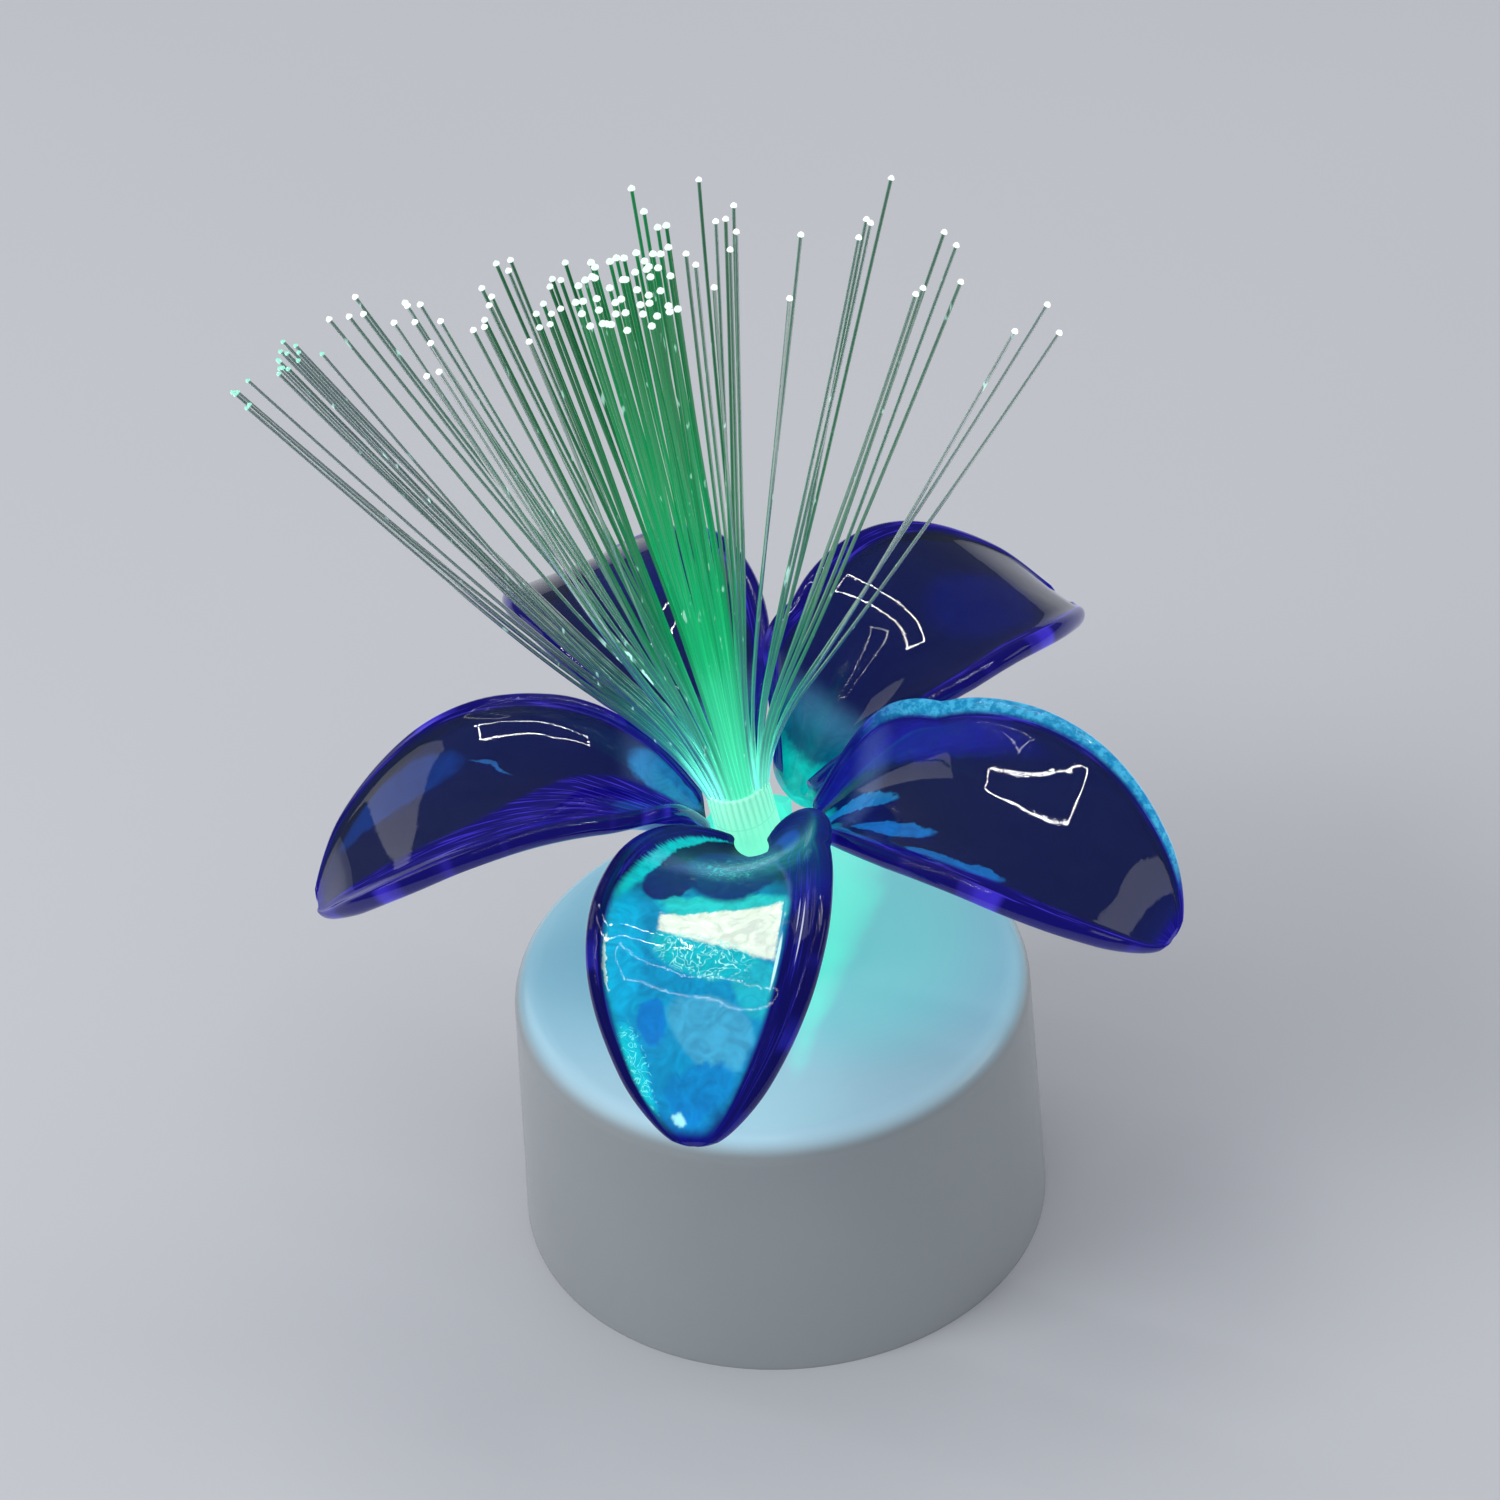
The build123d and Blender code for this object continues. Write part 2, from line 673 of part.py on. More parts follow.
with BuildPart() as led_lens:
    with BuildSketch(lamp_plane):
        Circle(led_flange_radius)
    extrude(amount=led_flange_height)
    with BuildSketch(lamp_plane):
        Circle(led_radius)
    extrude(amount=led_height - led_radius)
    with Locations(lamp_plane.offset(led_height - led_radius).location):
        Sphere(led_radius)
    add(led_leads, mode=Mode.SUBTRACT)
write(led_lens.part, "led_lens")

with BuildPart() as joint_sleeves:
    with BuildSketch(Plane.XY.offset(lead_end.Z - joint_sleeve_length / 2)):
        with Locations(*[(lead_end.X, lead_y) for lead_y in lead_sides.values()]):
            Circle(joint_sleeve_radius)
            Circle(joint_sleeve_bore, mode=Mode.SUBTRACT)
    extrude(amount=joint_sleeve_length)
write(joint_sleeves.part, "joint_sleeves")

# ================================================================ wiring
wire_level = tube_top + contact_tab_rise / 2
anode_joint = lead_end + Vector(0, lead_pitch / 2, 0)
cathode_joint = lead_end - Vector(0, lead_pitch / 2, 0)
positive_tab_face = cell_cap_radius / 2 + contact_thickness / 2
insulated_wire(
    "red_wire_battery",
    [
        (tube_center_x, positive_tab_face, wire_level),
        (tube_center_x, positive_tab_face + tab_wire_run, wire_level),
        (*swing_corner, wire_level - swing_drop),
        (switch_center_x, switch_corner_y, wire_level - switch_corner_drop),
        (switch_center_x, 0, terminal_top + battery_wire_rise),
        (switch_center_x, 0, terminal_top),
    ],
)
insulated_wire(
    "red_wire_led",
    [
        tuple(anode_joint),
        (lead_end.X, lead_pitch / 2, terminal_top + lamp_wire_rise_at_joint),
        (switch_center_x, terminal_pitch, terminal_top + lamp_wire_rise),
        (switch_center_x, terminal_pitch, terminal_top),
    ],
)
insulated_wire(
    "black_wire_led",
    [
        tuple(cathode_joint),
        (lead_end.X, -lead_pitch / 2, wire_level),
        (tube_center_x, strip_wire_y, wire_level),
        (tube_center_x, -strip_inner, wire_level),
    ],
)


# ================================================================ petals
def petal_section(t, twist):
    """Cross-section of a petal at share t of its length: an arched wall with round rims."""
    slope = atan2(bezier_slope(petal_rise, t), bezier_slope(petal_reach, t))
    tilt = slope * min(1, t / petal_upright_until)
    half_width = bezier(petal_half_width, t) * sqrt(1 - t**petal_tip_power)
    rim_height = bezier(petal_rim_height, t) * (1 - t**petal_tip_power)
    arch_radius = (half_width**2 + rim_height**2) / (2 * rim_height)
    rim_angle = degrees(atan2(half_width, arch_radius - rim_height))
    lobe = petal_lobe * sin(pi * min(1, t / petal_lobe_end))
    arc_size = 2 * rim_angle + degrees(lobe / arch_radius)
    section_plane = Plane(
        origin=(bezier(petal_reach, t), 0, bezier(petal_rise, t)),
        x_dir=(0, 1, 0),
        z_dir=(cos(tilt), 0, sin(tilt)),
    ).rotated((0, 0, twist * min(1, t / petal_upright_until)))
    with BuildSketch(section_plane) as section:
        with BuildLine():
            center = (0, arch_radius)
            under = CenterArc(center, arch_radius, -90 - rim_angle, arc_size)
            over = CenterArc(center, arch_radius - petal_wall, -90 - rim_angle, arc_size)
            for end, outward in ((0, -1), (1, 1)):
                rim_middle = (under @ end + over @ end) / 2
                rim_crest = rim_middle + (under % end) * outward * petal_wall / 2
                ThreePointArc(under @ end, rim_crest, over @ end)
        make_face()
    return section.sketch.face()


def petal(twist):
    """One petal along +X with the tab that goes into the holder."""
    with BuildPart() as made:
        loft(sections=[petal_section(t, twist) for t in petal_stations])
        with BuildSketch(Plane.XY.offset(petal_rise[0] + petal_tab_root)):
            with Locations((petal_reach[0] + petal_tab_thickness / 2, 0)):
                Rectangle(petal_tab_thickness, petal_tab_width)
        extrude(amount=-(petal_tab_root + petal_tab_depth))
    return made.part


petal_names = ("front", "right", "back_right", "back_left", "left")
for petal_name, petal_angle, petal_twist in zip(petal_names, petal_angles, petal_twists):
    petal_place = flower_plane.location * Location((0, 0, 0), (0, 0, petal_angle))
    write(petal_place * petal(petal_twist), f"petal_{petal_name}")


# ================================================================ fiber bundle
with BuildPart() as fiber_sleeve:
    with BuildSketch(lamp_plane.offset(sleeve_bottom)):
        Circle(sleeve_radius)
        Circle(sleeve_bore, mode=Mode.SUBTRACT)
    extrude(amount=sleeve_length)
write(fiber_sleeve.part, "fiber_sleeve")


def bundle_places():
    """Places of the fibers across the bundle: a middle one and rings round it."""
    places = [(0.0, 0.0)]
    for ring in range(1, fiber_rings + 1):
        for number in range(6 * ring):
            turn = radians(60 * number / ring)
            places.append((ring * fiber_pitch * cos(turn), ring * fiber_pitch * sin(turn)))
    return places


def deal_out(places, column):
    """Give a column's places to its tufts, front ones first, each with its own directions."""
    places = sorted(places, key=lambda place: place[1])
    directions = []
    for sideways, backward, half_width, half_depth, count in column:
        own, places = places[:count], places[count:]
        middle_x = sum(x for x, y in own) / count
        middle_y = sum(y for x, y in own) / count
        reach_x = max(abs(x - middle_x) for x, y in own) + fiber_radius
        reach_y = max(abs(y - middle_y) for x, y in own) + fiber_radius
        for x, y in own:
            lean_x = sideways + half_width * (x - middle_x) / reach_x
            lean_y = backward + half_depth * (y - middle_y) / reach_y
            directions.append((x, y, lean_x, lean_y))
    return directions


def fiber_points(x, y, lean_x, lean_y):
    """Corners of one fiber's route from the lamp to its tip."""
    heading = Vector(tan(radians(lean_x)), tan(radians(lean_y)), 1).normalized()
    root = lamp_plane.from_local_coords((x, y, fiber_root))
    knee = lamp_plane.from_local_coords((x, y, sleeve_top + fiber_exit_bend))
    free_length = fiber_length - fiber_exit_bend
    tip = knee + heading * free_length
    if max(abs(lean_x), abs(lean_y)) < fiber_curved_from:
        return [root, knee, tip]
    outward_x, outward_y = radians(lean_x * fiber_outward), radians(lean_y * fiber_outward)
    outward = Vector(tan(outward_x), tan(outward_y), 1).normalized()
    return [root, knee, knee + outward * free_length * fiber_sweep_share, tip]


def fiber_radii(points):
    """The first bend starts at the sleeve's mouth; the second is as large as its runs allow."""
    turn = (points[1] - points[0]).get_angle(points[2] - points[1])
    return [fiber_exit_bend / tan(radians(turn / 2))] + bend_radii(points[1:])


free_places = sorted(bundle_places())
for column_number, column in enumerate(tuft_columns):
    column_size = sum(tuft[-1] for tuft in column)
    own_places, free_places = free_places[:column_size], free_places[column_size:]
    fibers = []
    for fiber in deal_out(own_places, column):
        points = fiber_points(*fiber)
        fibers.append(round_rod(points, fiber_radius, fiber_radii(points)))
    write(Compound(children=fibers), f"fiber_tuft_{column_number + 1:02}")
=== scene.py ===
"""Looks of the fiber flower lamp: milky base, clear blue petals and a lit spray of light-guide fibers."""

import random
from math import atan2, cos, pi, radians, sin, sqrt, tan

import bpy
from mathutils import Matrix, Vector, noise


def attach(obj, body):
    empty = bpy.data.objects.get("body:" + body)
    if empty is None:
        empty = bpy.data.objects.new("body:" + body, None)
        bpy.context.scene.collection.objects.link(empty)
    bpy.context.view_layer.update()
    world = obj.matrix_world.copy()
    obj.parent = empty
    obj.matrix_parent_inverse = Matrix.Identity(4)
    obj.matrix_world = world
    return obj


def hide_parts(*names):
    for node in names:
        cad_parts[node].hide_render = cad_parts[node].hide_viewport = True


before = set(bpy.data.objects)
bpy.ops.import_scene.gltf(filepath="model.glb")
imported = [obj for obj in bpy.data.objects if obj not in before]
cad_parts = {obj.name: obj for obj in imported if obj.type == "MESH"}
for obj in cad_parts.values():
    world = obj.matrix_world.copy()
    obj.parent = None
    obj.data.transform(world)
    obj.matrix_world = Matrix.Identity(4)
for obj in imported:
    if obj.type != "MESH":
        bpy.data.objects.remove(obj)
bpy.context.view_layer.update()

MM = 0.001

# ---------------------------------------------------------------- camera, as fitted to the photo
FRAME_PX = 1500
FOCAL_PX = 6081.43
VIEW_ELEVATION = 42.708
VIEW_ROLL = -4.060
VIEW_DISTANCE = 600 * MM
VIEW_TARGET = Vector((0, 0, 15 * MM))
TARGET_PX = (778.42, 1072.63)
SENSOR_MM = 36.0
# Evens out what turning the camera, instead of shifting its lens, does to the scale.
AIM_STRETCH = 1.002

# ---------------------------------------------------------------- stage and light
FLOOR_SIZE = 6
FLOOR_GAP = 0.02 * MM
ROOM_COLOR = (0.80, 0.82, 0.86)
# How bright the room is as it lights things, and as it shows in shiny ones.
ROOM_LIGHT = 0.68
ROOM_SHINE = 0.10
PANEL_AIM = Vector((0, 0, 50 * MM))
# Thin tubes over the flower, in two frames.
TUBE_WIDTH = 2.4 * MM
TUBE_HEIGHT = 420 * MM

# ---------------------------------------------------------------- painted light in the base's top, in millimetres
# The heights between which the side's painted shade gives way to the top's painted light.
TOP_FADE = (27.0, 28.75)
# The painted streak of light: its middle, half its width and length, and half its width at its narrowest.
STREAK_MIDDLE = (4.6, 6.0)
STREAK_HALF = (2.9, 17.0)
STREAK_NARROWEST = 1.7
# How much the streak leans and widens with each millimetre towards the back.
STREAK_LEAN = 0.19
STREAK_TAPER = 0.13
# The painted haze of light right of it, and where the rest of the top's painted light turns paler towards
# the front.
HAZE_MIDDLE = (8.0, 5.0)
HAZE_HALF = (14.0, 20.0)
PALE_FADE = (-3.0, -20.0)

# ---------------------------------------------------------------- flower, as in the frame, in millimetres
FLOWER_HEIGHT = 46.6
FLOWER_TILT = (1.9, -1.6)
PETAL_AZIMUTHS = {"front": -100.8, "right": -28.8, "back_right": 43.2, "back_left": 115.2, "left": 187.2}
PETAL_TWISTS = {"front": 7, "right": 7, "back_right": 7, "back_left": 0, "left": 3}
PETAL_REACH = (5.0, 16.8, 29.5, 42.0)
PETAL_RISE = (-0.35, 10.95, 16.05, -0.1)
PETAL_HALF_WIDTH = (2.8, 12.6, 12.4, 7.6)
PETAL_RIM_HEIGHT = (3.85, 5.25, -1.6, 0.75)
PETAL_UPRIGHT_UNTIL = 0.4
PETAL_TIP_POWER = 6
PETAL_LOBE = 2.0
PETAL_LOBE_END = 0.34
PETAL_LAST = 0.992
PETAL_WALL = 1.3
# The rim's bead: how much it adds to the wall, where it starts across, and between which shares it grows.
PETAL_BEAD = 0.3
PETAL_BEAD_FROM = 0.80
PETAL_BEAD_GROWS = (0.1, 0.35)
PETAL_END = 0.5
# How much thinner the petals get over their last part, and where that starts.
PETAL_THINNED = 0.4
PETAL_THIN_FROM = 0.90
PETAL_STATIONS = 72
PETAL_ACROSS = 40
PETAL_RIM_STEPS = 10
PETAL_END_STEPS = 6
PETAL_RIPPLE = 0.05
PETAL_RIPPLE_SCALE = 5.5
PETAL_RIPPLE_SEED = 5

# ---------------------------------------------------------------- fiber bundle, as in the frame
BUNDLE_LEAN = 9.0
LED_SEAT = 39.4
FIBER_RADIUS = 0.175
FIBER_PITCH = 0.41
FIBER_RINGS = 6
FIBER_LENGTH = 63.0
FIBER_ROOT = 8.8
FIBER_EXIT_BEND = 3.0
FIBER_SWEEP_SHARE = 0.4
FIBER_OUTWARD = 1.1
FIBER_CURVED_FROM = 12.0
SLEEVE_BOTTOM = 1.0
SLEEVE_TOP = 13.5
SLEEVE_RADIUS = 3.095
SLEEVE_BORE = 2.695
SLEEVE_POINTS = 180
SLEEVE_RIDGES = 30
SLEEVE_GROOVE = 0.05
# The sleeve's rings near its ends: above its foot, and (above its mouth, wider).
SLEEVE_FOOT = 0.3
SLEEVE_MOUTH = ((-0.9, 0.0), (-0.5, -0.08), (-0.15, 0.0), (0.0, -0.1))
FIBER_SIDES = 7
FIBER_STEPS = 26
FIBER_BOW = 0.5
FIBER_STRAY = 0.45
FIBER_SHORTER = 1.6
FIBER_SEED = 11
# A rod's last two rings, as shares of its bead's radius behind its tip.
ROD_ENDS = (0.9, 0.55)
# A bead's rings as (share of its length, share of its radius), and where it ends, in its radius.
BEAD_RADIUS = 0.31
BEAD_RINGS = ((0.0, 1.0), (0.25, 1.0), (0.5, 0.86), (0.75, 0.5), (0.97, 0.12))
BEAD_LENGTH = 1.4
BEAD_BACK = 0.5

# Each column of the spray, from left to right, holds its tufts from front to back.
# A tuft is (sideways lean, backward lean, half its width, half its depth, fibers), in degrees.
TUFT_COLUMNS = (
    ((-41, 3, 1.3, 2.2, 6),),
    ((-32.9, 2.4, 0.5, 0.5, 1), (-36.4, 3.7, 1.8, 1.2, 12)),
    (
        (-22.3, -8.3, 0.9, 0.6, 2),
        (-21.5, -3.5, 0.8, 0.9, 2),
        (-24, 0, 1.4, 1.4, 5),
        (-30.4, 3.8, 2.6, 0.8, 4),
    ),
    ((-13.9, -7, 0.5, 0.5, 1), (-17.3, -3.5, 1.5, 1.6, 6), (-15.2, -0.2, 1.0, 1.2, 3)),
    ((-11.9, -6.1, 1.9, 1.0, 5), (-11.5, -3.9, 1.9, 1.0, 5)),
    (
        (-7.2, -7, 3.0, 1.5, 15),
        (-7.4, -3.9, 3.0, 1.5, 15),
        (-3.8, 2.9, 0.5, 0.5, 1),
        (-5, 8.8, 0.5, 0.5, 1),
    ),
    ((-4.1, -7.3, 1.5, 2.0, 10), (-3.9, -3.2, 1.5, 1.8, 8), (-2.9, 0.7, 0.4, 0.7, 2)),
    ((0.3, -5.2, 0.5, 0.5, 1), (-1.2, -2.2, 0.8, 0.8, 2), (1.8, 1, 1.4, 2.2, 5), (-0.8, 7.2, 0.5, 0.5, 1)),
    ((6.5, -7.5, 0.5, 0.5, 1), (7.8, -0.8, 0.5, 0.5, 1)),
    (
        (17.6, -4.8, 0.8, 1.2, 2),
        (20.6, -4.4, 0.5, 0.5, 1),
        (13.2, 2.1, 1.2, 0.8, 3),
        (20.7, 2, 1.2, 1.6, 2),
        (16.5, 11.3, 0.5, 0.5, 1),
    ),
    ((26.4, -8, 0.5, 0.5, 1), (30.5, -6.2, 0.5, 0.5, 1), (28.6, -5.2, 0.5, 0.5, 1)),
)
# How green each column glows, from 0, only clear, to 1.
COLUMN_GLOW = (0.02, 0.03, 0.12, 0.26, 0.48, 1.0, 0.95, 0.24, 0.22, 0.20, 0.08)
GLOW_SPREAD = (0.6, 1.2)
# How bright each column's beads are, up to 1, and how large beside the plain ones.
COLUMN_TIPS = (0.3, 0.3, 1, 1, 1, 1, 1, 1, 1, 1, 1)
COLUMN_BEADS = (0.75, 0.75, 1, 1, 1, 1.15, 1.15, 1, 1, 1, 1)
# Painted glints: the (column, fiber) that have many, and where they start and end along it.
GLINT_FIBERS = ((2, 9), (2, 11), (2, 8))
GLINT_SPAN = (0.22, 0.26, 0.38, 0.43)


# ================================================================ mesh helpers
def mesh_piece(name, verts, faces, attributes):
    """A smooth-shaded mesh object with float attributes on its points."""
    mesh = bpy.data.meshes.new(name)
    mesh.from_pydata([tuple(v) for v in verts], [], faces)
    mesh.update()
    for key, values in attributes.items():
        mesh.attributes.new(key, "FLOAT", "POINT").data.foreach_set("value", values)
    mesh.polygons.foreach_set("use_smooth", [True] * len(mesh.polygons))
    piece = bpy.data.objects.new(name, mesh)
    bpy.context.scene.collection.objects.link(piece)
    return piece


def loop_faces(rings, size, closed_ends=True):
    """Quads between successive closed rings of points, and one polygon over each closed end."""
    faces = []
    for ring in range(rings - 1):
        for place in range(size):
            after = (place + 1) % size
            low, high = ring * size, (ring + 1) * size
            faces.append((low + place, low + after, high + after, high + place))
    if closed_ends:
        faces.append(tuple(reversed(range(size))))
        faces.append(tuple((rings - 1) * size + place for place in range(size)))
    return faces


# ================================================================ node helpers
# The color sockets of a Mix node.
MIX_FIRST = 6
MIX_SECOND = 7
MIX_RESULT = 2


class Look:
    """A material with one Principled shader and short calls for the nodes in front of it."""

    def __init__(self, name, **sockets):
        self.material = bpy.data.materials.new(name)
        self.material.use_nodes = True
        self.tree = self.material.node_tree
        self.shader = self.tree.nodes["Principled BSDF"]
        for socket, value in sockets.items():
            self.shader.inputs[socket.replace("_", " ")].default_value = value

    def node(self, kind, **settings):
        made = self.tree.nodes.new(kind)
        for setting, value in settings.items():
            setattr(made, setting, value)
        return made

    def link(self, source, target):
        if hasattr(source, "is_output"):
            self.tree.links.new(source, target)
        else:
            target.default_value = source

    def drive(self, socket, source):
        self.tree.links.new(source, self.shader.inputs[socket])

    def place(self):
        return self.node("ShaderNodeTexCoord").outputs["Object"]

    def attribute(self, name):
        return self.node("ShaderNodeAttribute", attribute_name=name).outputs["Fac"]

    def stretched(self, scale):
        mapping = self.node("ShaderNodeMapping")
        self.link(self.place(), mapping.inputs["Vector"])
        mapping.inputs["Scale"].default_value = scale
        return mapping.outputs["Vector"]

    def vector(self, **parts):
        """A vector of which each named part is a value times a scale."""
        made = self.node("ShaderNodeCombineXYZ")
        for part, (value, scale) in parts.items():
            self.link(self.math("MULTIPLY", value, scale), made.inputs[part])
        return made.outputs[0]

    def noise(self, scale, detail=3.0, rough=0.55, vector=None, distortion=0.0):
        made = self.node("ShaderNodeTexNoise")
        self.link(vector or self.place(), made.inputs["Vector"])
        made.inputs["Scale"].default_value = scale
        made.inputs["Detail"].default_value = detail
        made.inputs["Roughness"].default_value = rough
        made.inputs["Distortion"].default_value = distortion
        return made.outputs["Fac"]

    def math(self, operation, first, second=0.0, third=0.0):
        made = self.node("ShaderNodeMath", operation=operation)
        for source, socket in zip((first, second, third), made.inputs):
            self.link(source, socket)
        return made.outputs[0]

    def band(self, value, low, high):
        """0 at low, 1 at high and smooth between them."""
        made = self.node("ShaderNodeMapRange", interpolation_type="SMOOTHSTEP")
        self.link(value, made.inputs["Value"])
        made.inputs["From Min"].default_value = low
        made.inputs["From Max"].default_value = high
        return made.outputs["Result"]

    def ramp(self, value, *stops):
        made = self.node("ShaderNodeValToRGB")
        elements = made.color_ramp.elements
        while len(elements) < len(stops):
            elements.new(0.5)
        for element, (position, color) in zip(elements, stops):
            element.position = position
            element.color = (*color, 1)
        self.link(value, made.inputs["Fac"])
        return made.outputs["Color"]

    def mix(self, share, first, second, blend="MIX"):
        made = self.node("ShaderNodeMix", data_type="RGBA", blend_type=blend)
        self.link(share, made.inputs["Factor"])
        self.color(first, made.inputs[MIX_FIRST])
        self.color(second, made.inputs[MIX_SECOND])
        return made.outputs[MIX_RESULT]

    def color(self, source, socket):
        if hasattr(source, "is_output"):
            self.tree.links.new(source, socket)
        else:
            socket.default_value = (*source, 1)

    def axis(self, index):
        split = self.node("ShaderNodeSeparateXYZ")
        self.link(self.place(), split.inputs[0])
        return split.outputs[index]

    def far(self, *directions):
        """Squared distance from an oval's middle, 1 on its edge; a direction is (place, middle, half)."""
        total = 0.0
        for place, middle, half in directions:
            away = self.math("DIVIDE", self.math("SUBTRACT", place, middle), half)
            total = self.math("MULTIPLY_ADD", away, away, total)
        return total

    def spot(self, along, across, at_along, at_across, half_along, half_across, slant, edge):
        """1 inside an oval of the petal and 0 outside it; slant leans it along with the place across."""
        if slant:
            along = self.math("SUBTRACT", along, self.math("MULTIPLY", across, slant))
            at_along -= slant * at_across
        out = self.far((along, at_along, half_along), (across, at_across, half_across))
        return self.band(out, 1 + edge, 1 - edge)

    def lay(self, spots, glow, along, across, mask=None):
        """A glow with spots of light over it, all of them within the mask if there is one."""
        for *oval, color in spots:
            share = self.spot(along, across, *oval)
            if mask is not None:
                share = self.math("MULTIPLY", share, mask)
            glow = self.mix(share, glow, color)
        return glow

    def patch(self, along, across, sides, start, ends, edges):
        """1 inside a wedge of the petal: between two places across, from start to a slanted end."""
        slope = (ends[1] - ends[0]) / (sides[1] - sides[0])
        end = self.math("SUBTRACT", along, self.math("MULTIPLY", across, slope))
        last = ends[0] - slope * sides[0]
        edge, side_edge = edges
        shares = (
            self.band(across, sides[0] - side_edge, sides[0] + side_edge),
            self.band(across, sides[1] + side_edge, sides[1] - side_edge),
            self.band(along, start - edge, start + edge),
            self.band(end, last + edge, last - edge),
        )
        inside = shares[0]
        for share in shares[1:]:
            inside = self.math("MULTIPLY", inside, share)
        return inside

    def bump(self, height, strength, depth_mm):
        made = self.node("ShaderNodeBump")
        made.inputs["Strength"].default_value = strength
        made.inputs["Distance"].default_value = depth_mm * MM
        self.link(height, made.inputs["Height"])
        self.drive("Normal", made.outputs["Normal"])

    def absorb(self, color, density):
        volume = self.node("ShaderNodeVolumeAbsorption")
        volume.inputs["Color"].default_value = (*color, 1)
        volume.inputs["Density"].default_value = density
        output = self.tree.nodes["Material Output"]
        self.tree.links.new(volume.outputs[0], output.inputs["Volume"])


# ================================================================ materials
def milky_base():
    """Translucent white plastic, its side painted in shade and its top painted paler and cool, where the
    lamp lights it from above.
    """
    look = Look(
        "milky_base",
        Roughness=0.24,
        Coat_Weight=0.3,
        Coat_Roughness=0.10,
        Subsurface_Weight=0.3,
        Subsurface_Radius=(1.0, 1.2, 1.4),
        Subsurface_Scale=2.0 * MM,
        Emission_Strength=0.9,
    )
    x, y, z = look.axis(0), look.axis(1), look.axis(2)
    top = look.band(z, TOP_FADE[0] * MM, TOP_FADE[1] * MM)
    cloud = look.noise(22, 2.0, 0.5)
    # The side is painted darker and the top paler and cyan, as the light falls from above.
    side = look.ramp(cloud, (0.3, (0.31, 0.34, 0.355)), (0.7, (0.35, 0.385, 0.40)))
    painted_lit_crown = look.ramp(cloud, (0.3, (0.45, 0.60, 0.67)), (0.7, (0.49, 0.64, 0.71)))
    look.drive("Base Color", look.mix(top, side, painted_lit_crown))
    # Painted light from the lamp in the top: all over it, as a haze at the right, and as a tapering streak.
    pale = look.band(y, PALE_FADE[0] * MM, PALE_FADE[1] * MM)
    glow = look.mix(pale, (0.04, 0.21, 0.29), (0.14, 0.26, 0.32))
    sideways = (x, HAZE_MIDDLE[0] * MM, HAZE_HALF[0] * MM)
    backward = (y, HAZE_MIDDLE[1] * MM, HAZE_HALF[1] * MM)
    glow = look.mix(look.band(look.far(sideways, backward), 1.3, 0.0), glow, (0.03, 0.36, 0.36))
    leaning = look.math("SUBTRACT", x, look.math("MULTIPLY", y, STREAK_LEAN))
    width = look.math("MULTIPLY_ADD", y, STREAK_TAPER, STREAK_HALF[0] * MM)
    width = look.math("MAXIMUM", width, STREAK_NARROWEST * MM)
    sideways = (leaning, STREAK_MIDDLE[0] * MM, width)
    backward = (y, STREAK_MIDDLE[1] * MM, STREAK_HALF[1] * MM)
    uneven = look.math("MULTIPLY_ADD", look.noise(170, 2, 0.5), 1.4, -0.7)
    far = look.math("ADD", look.far(sideways, backward), uneven)
    glow = look.mix(look.band(far, 1.9, -0.3), glow, (0.02, 0.72, 0.50))
    look.drive("Emission Color", look.mix(top, (0.0, 0.0, 0.0), glow))
    look.bump(look.noise(60, 1), 0.04, 0.05)
    return look.material


# Places along a petal run from 0 at its root to 1 at its tip. Places across run from -1 to 1, which is from
# left to right in the front petal. The rims are where the deep edges start across on these two sides.
FRONT_RIMS = (0.93, 0.72)
RIGHT_RIMS = (0.86, 0.90)
LEFT_RIMS = (0.94, 0.80)
BACK_RIMS = (0.90, 0.90)
# A crest is a deep edge that widens between two places along: (narrow, wide, how far it widens, its start).
FRONT_CREST = (0.50, 0.20, 0.30, 0.71)
LEFT_CREST = (0.70, 0.15, 1.0, 0.60)
# Gloss of the petals, and of the front one.
PETAL_GLOSS = {"Coat_Weight": 0.25, "Coat_Roughness": 0.01}
FRONT_GLOSS = {"Specular_IOR_Level": 0.3}
# How soft the start of the deep edge is, inside and outside its place, and where it starts at the tip.
RIM_STEP = (0.05, 0.03)
RIM_TIP = (0.965, 0.99)
# Painted light in the deep edges, from its dim parts to its bright streaks, and the same for the front
# petal.
RIM_GLOWS = ((0.003, 0.002, 0.11), (0.045, 0.028, 0.56))
FRONT_RIM_GLOWS = ((0.002, 0.002, 0.06), (0.012, 0.012, 0.26))
# The places along between which a petal's dark root ends, and how clear a petal is in it and elsewhere.
ROOT_FADE = (0.24, 0.10)
ROOT_CLEAR = (0.22, 0.97)
FRONT_ROOT_FADE = (0.36, 0.24)
FRONT_ROOT_CLEAR = (0.04, 0.97)
# The front petal's root is also dull, its crest is as dark as its root, and its left edge has teeth.
FRONT_DULL = 0.55
FRONT_DULL_FADE = (0.32, 0.18)
FRONT_CREST_FADE = (0.58, 0.44)
FRONT_TEETH = 110.0
FRONT_TEETH_DEPTH = 0.16
FRONT_TEETH_FADE = (0.5, 0.3)
# The painted cyan light on the right petal's edge: its start across, and where it begins and ends along it.
EDGE_LINE = (0.90, 0.97)
EDGE_BEGINS = (0.12, 0.30)
EDGE_ENDS = (0.97, 0.90)
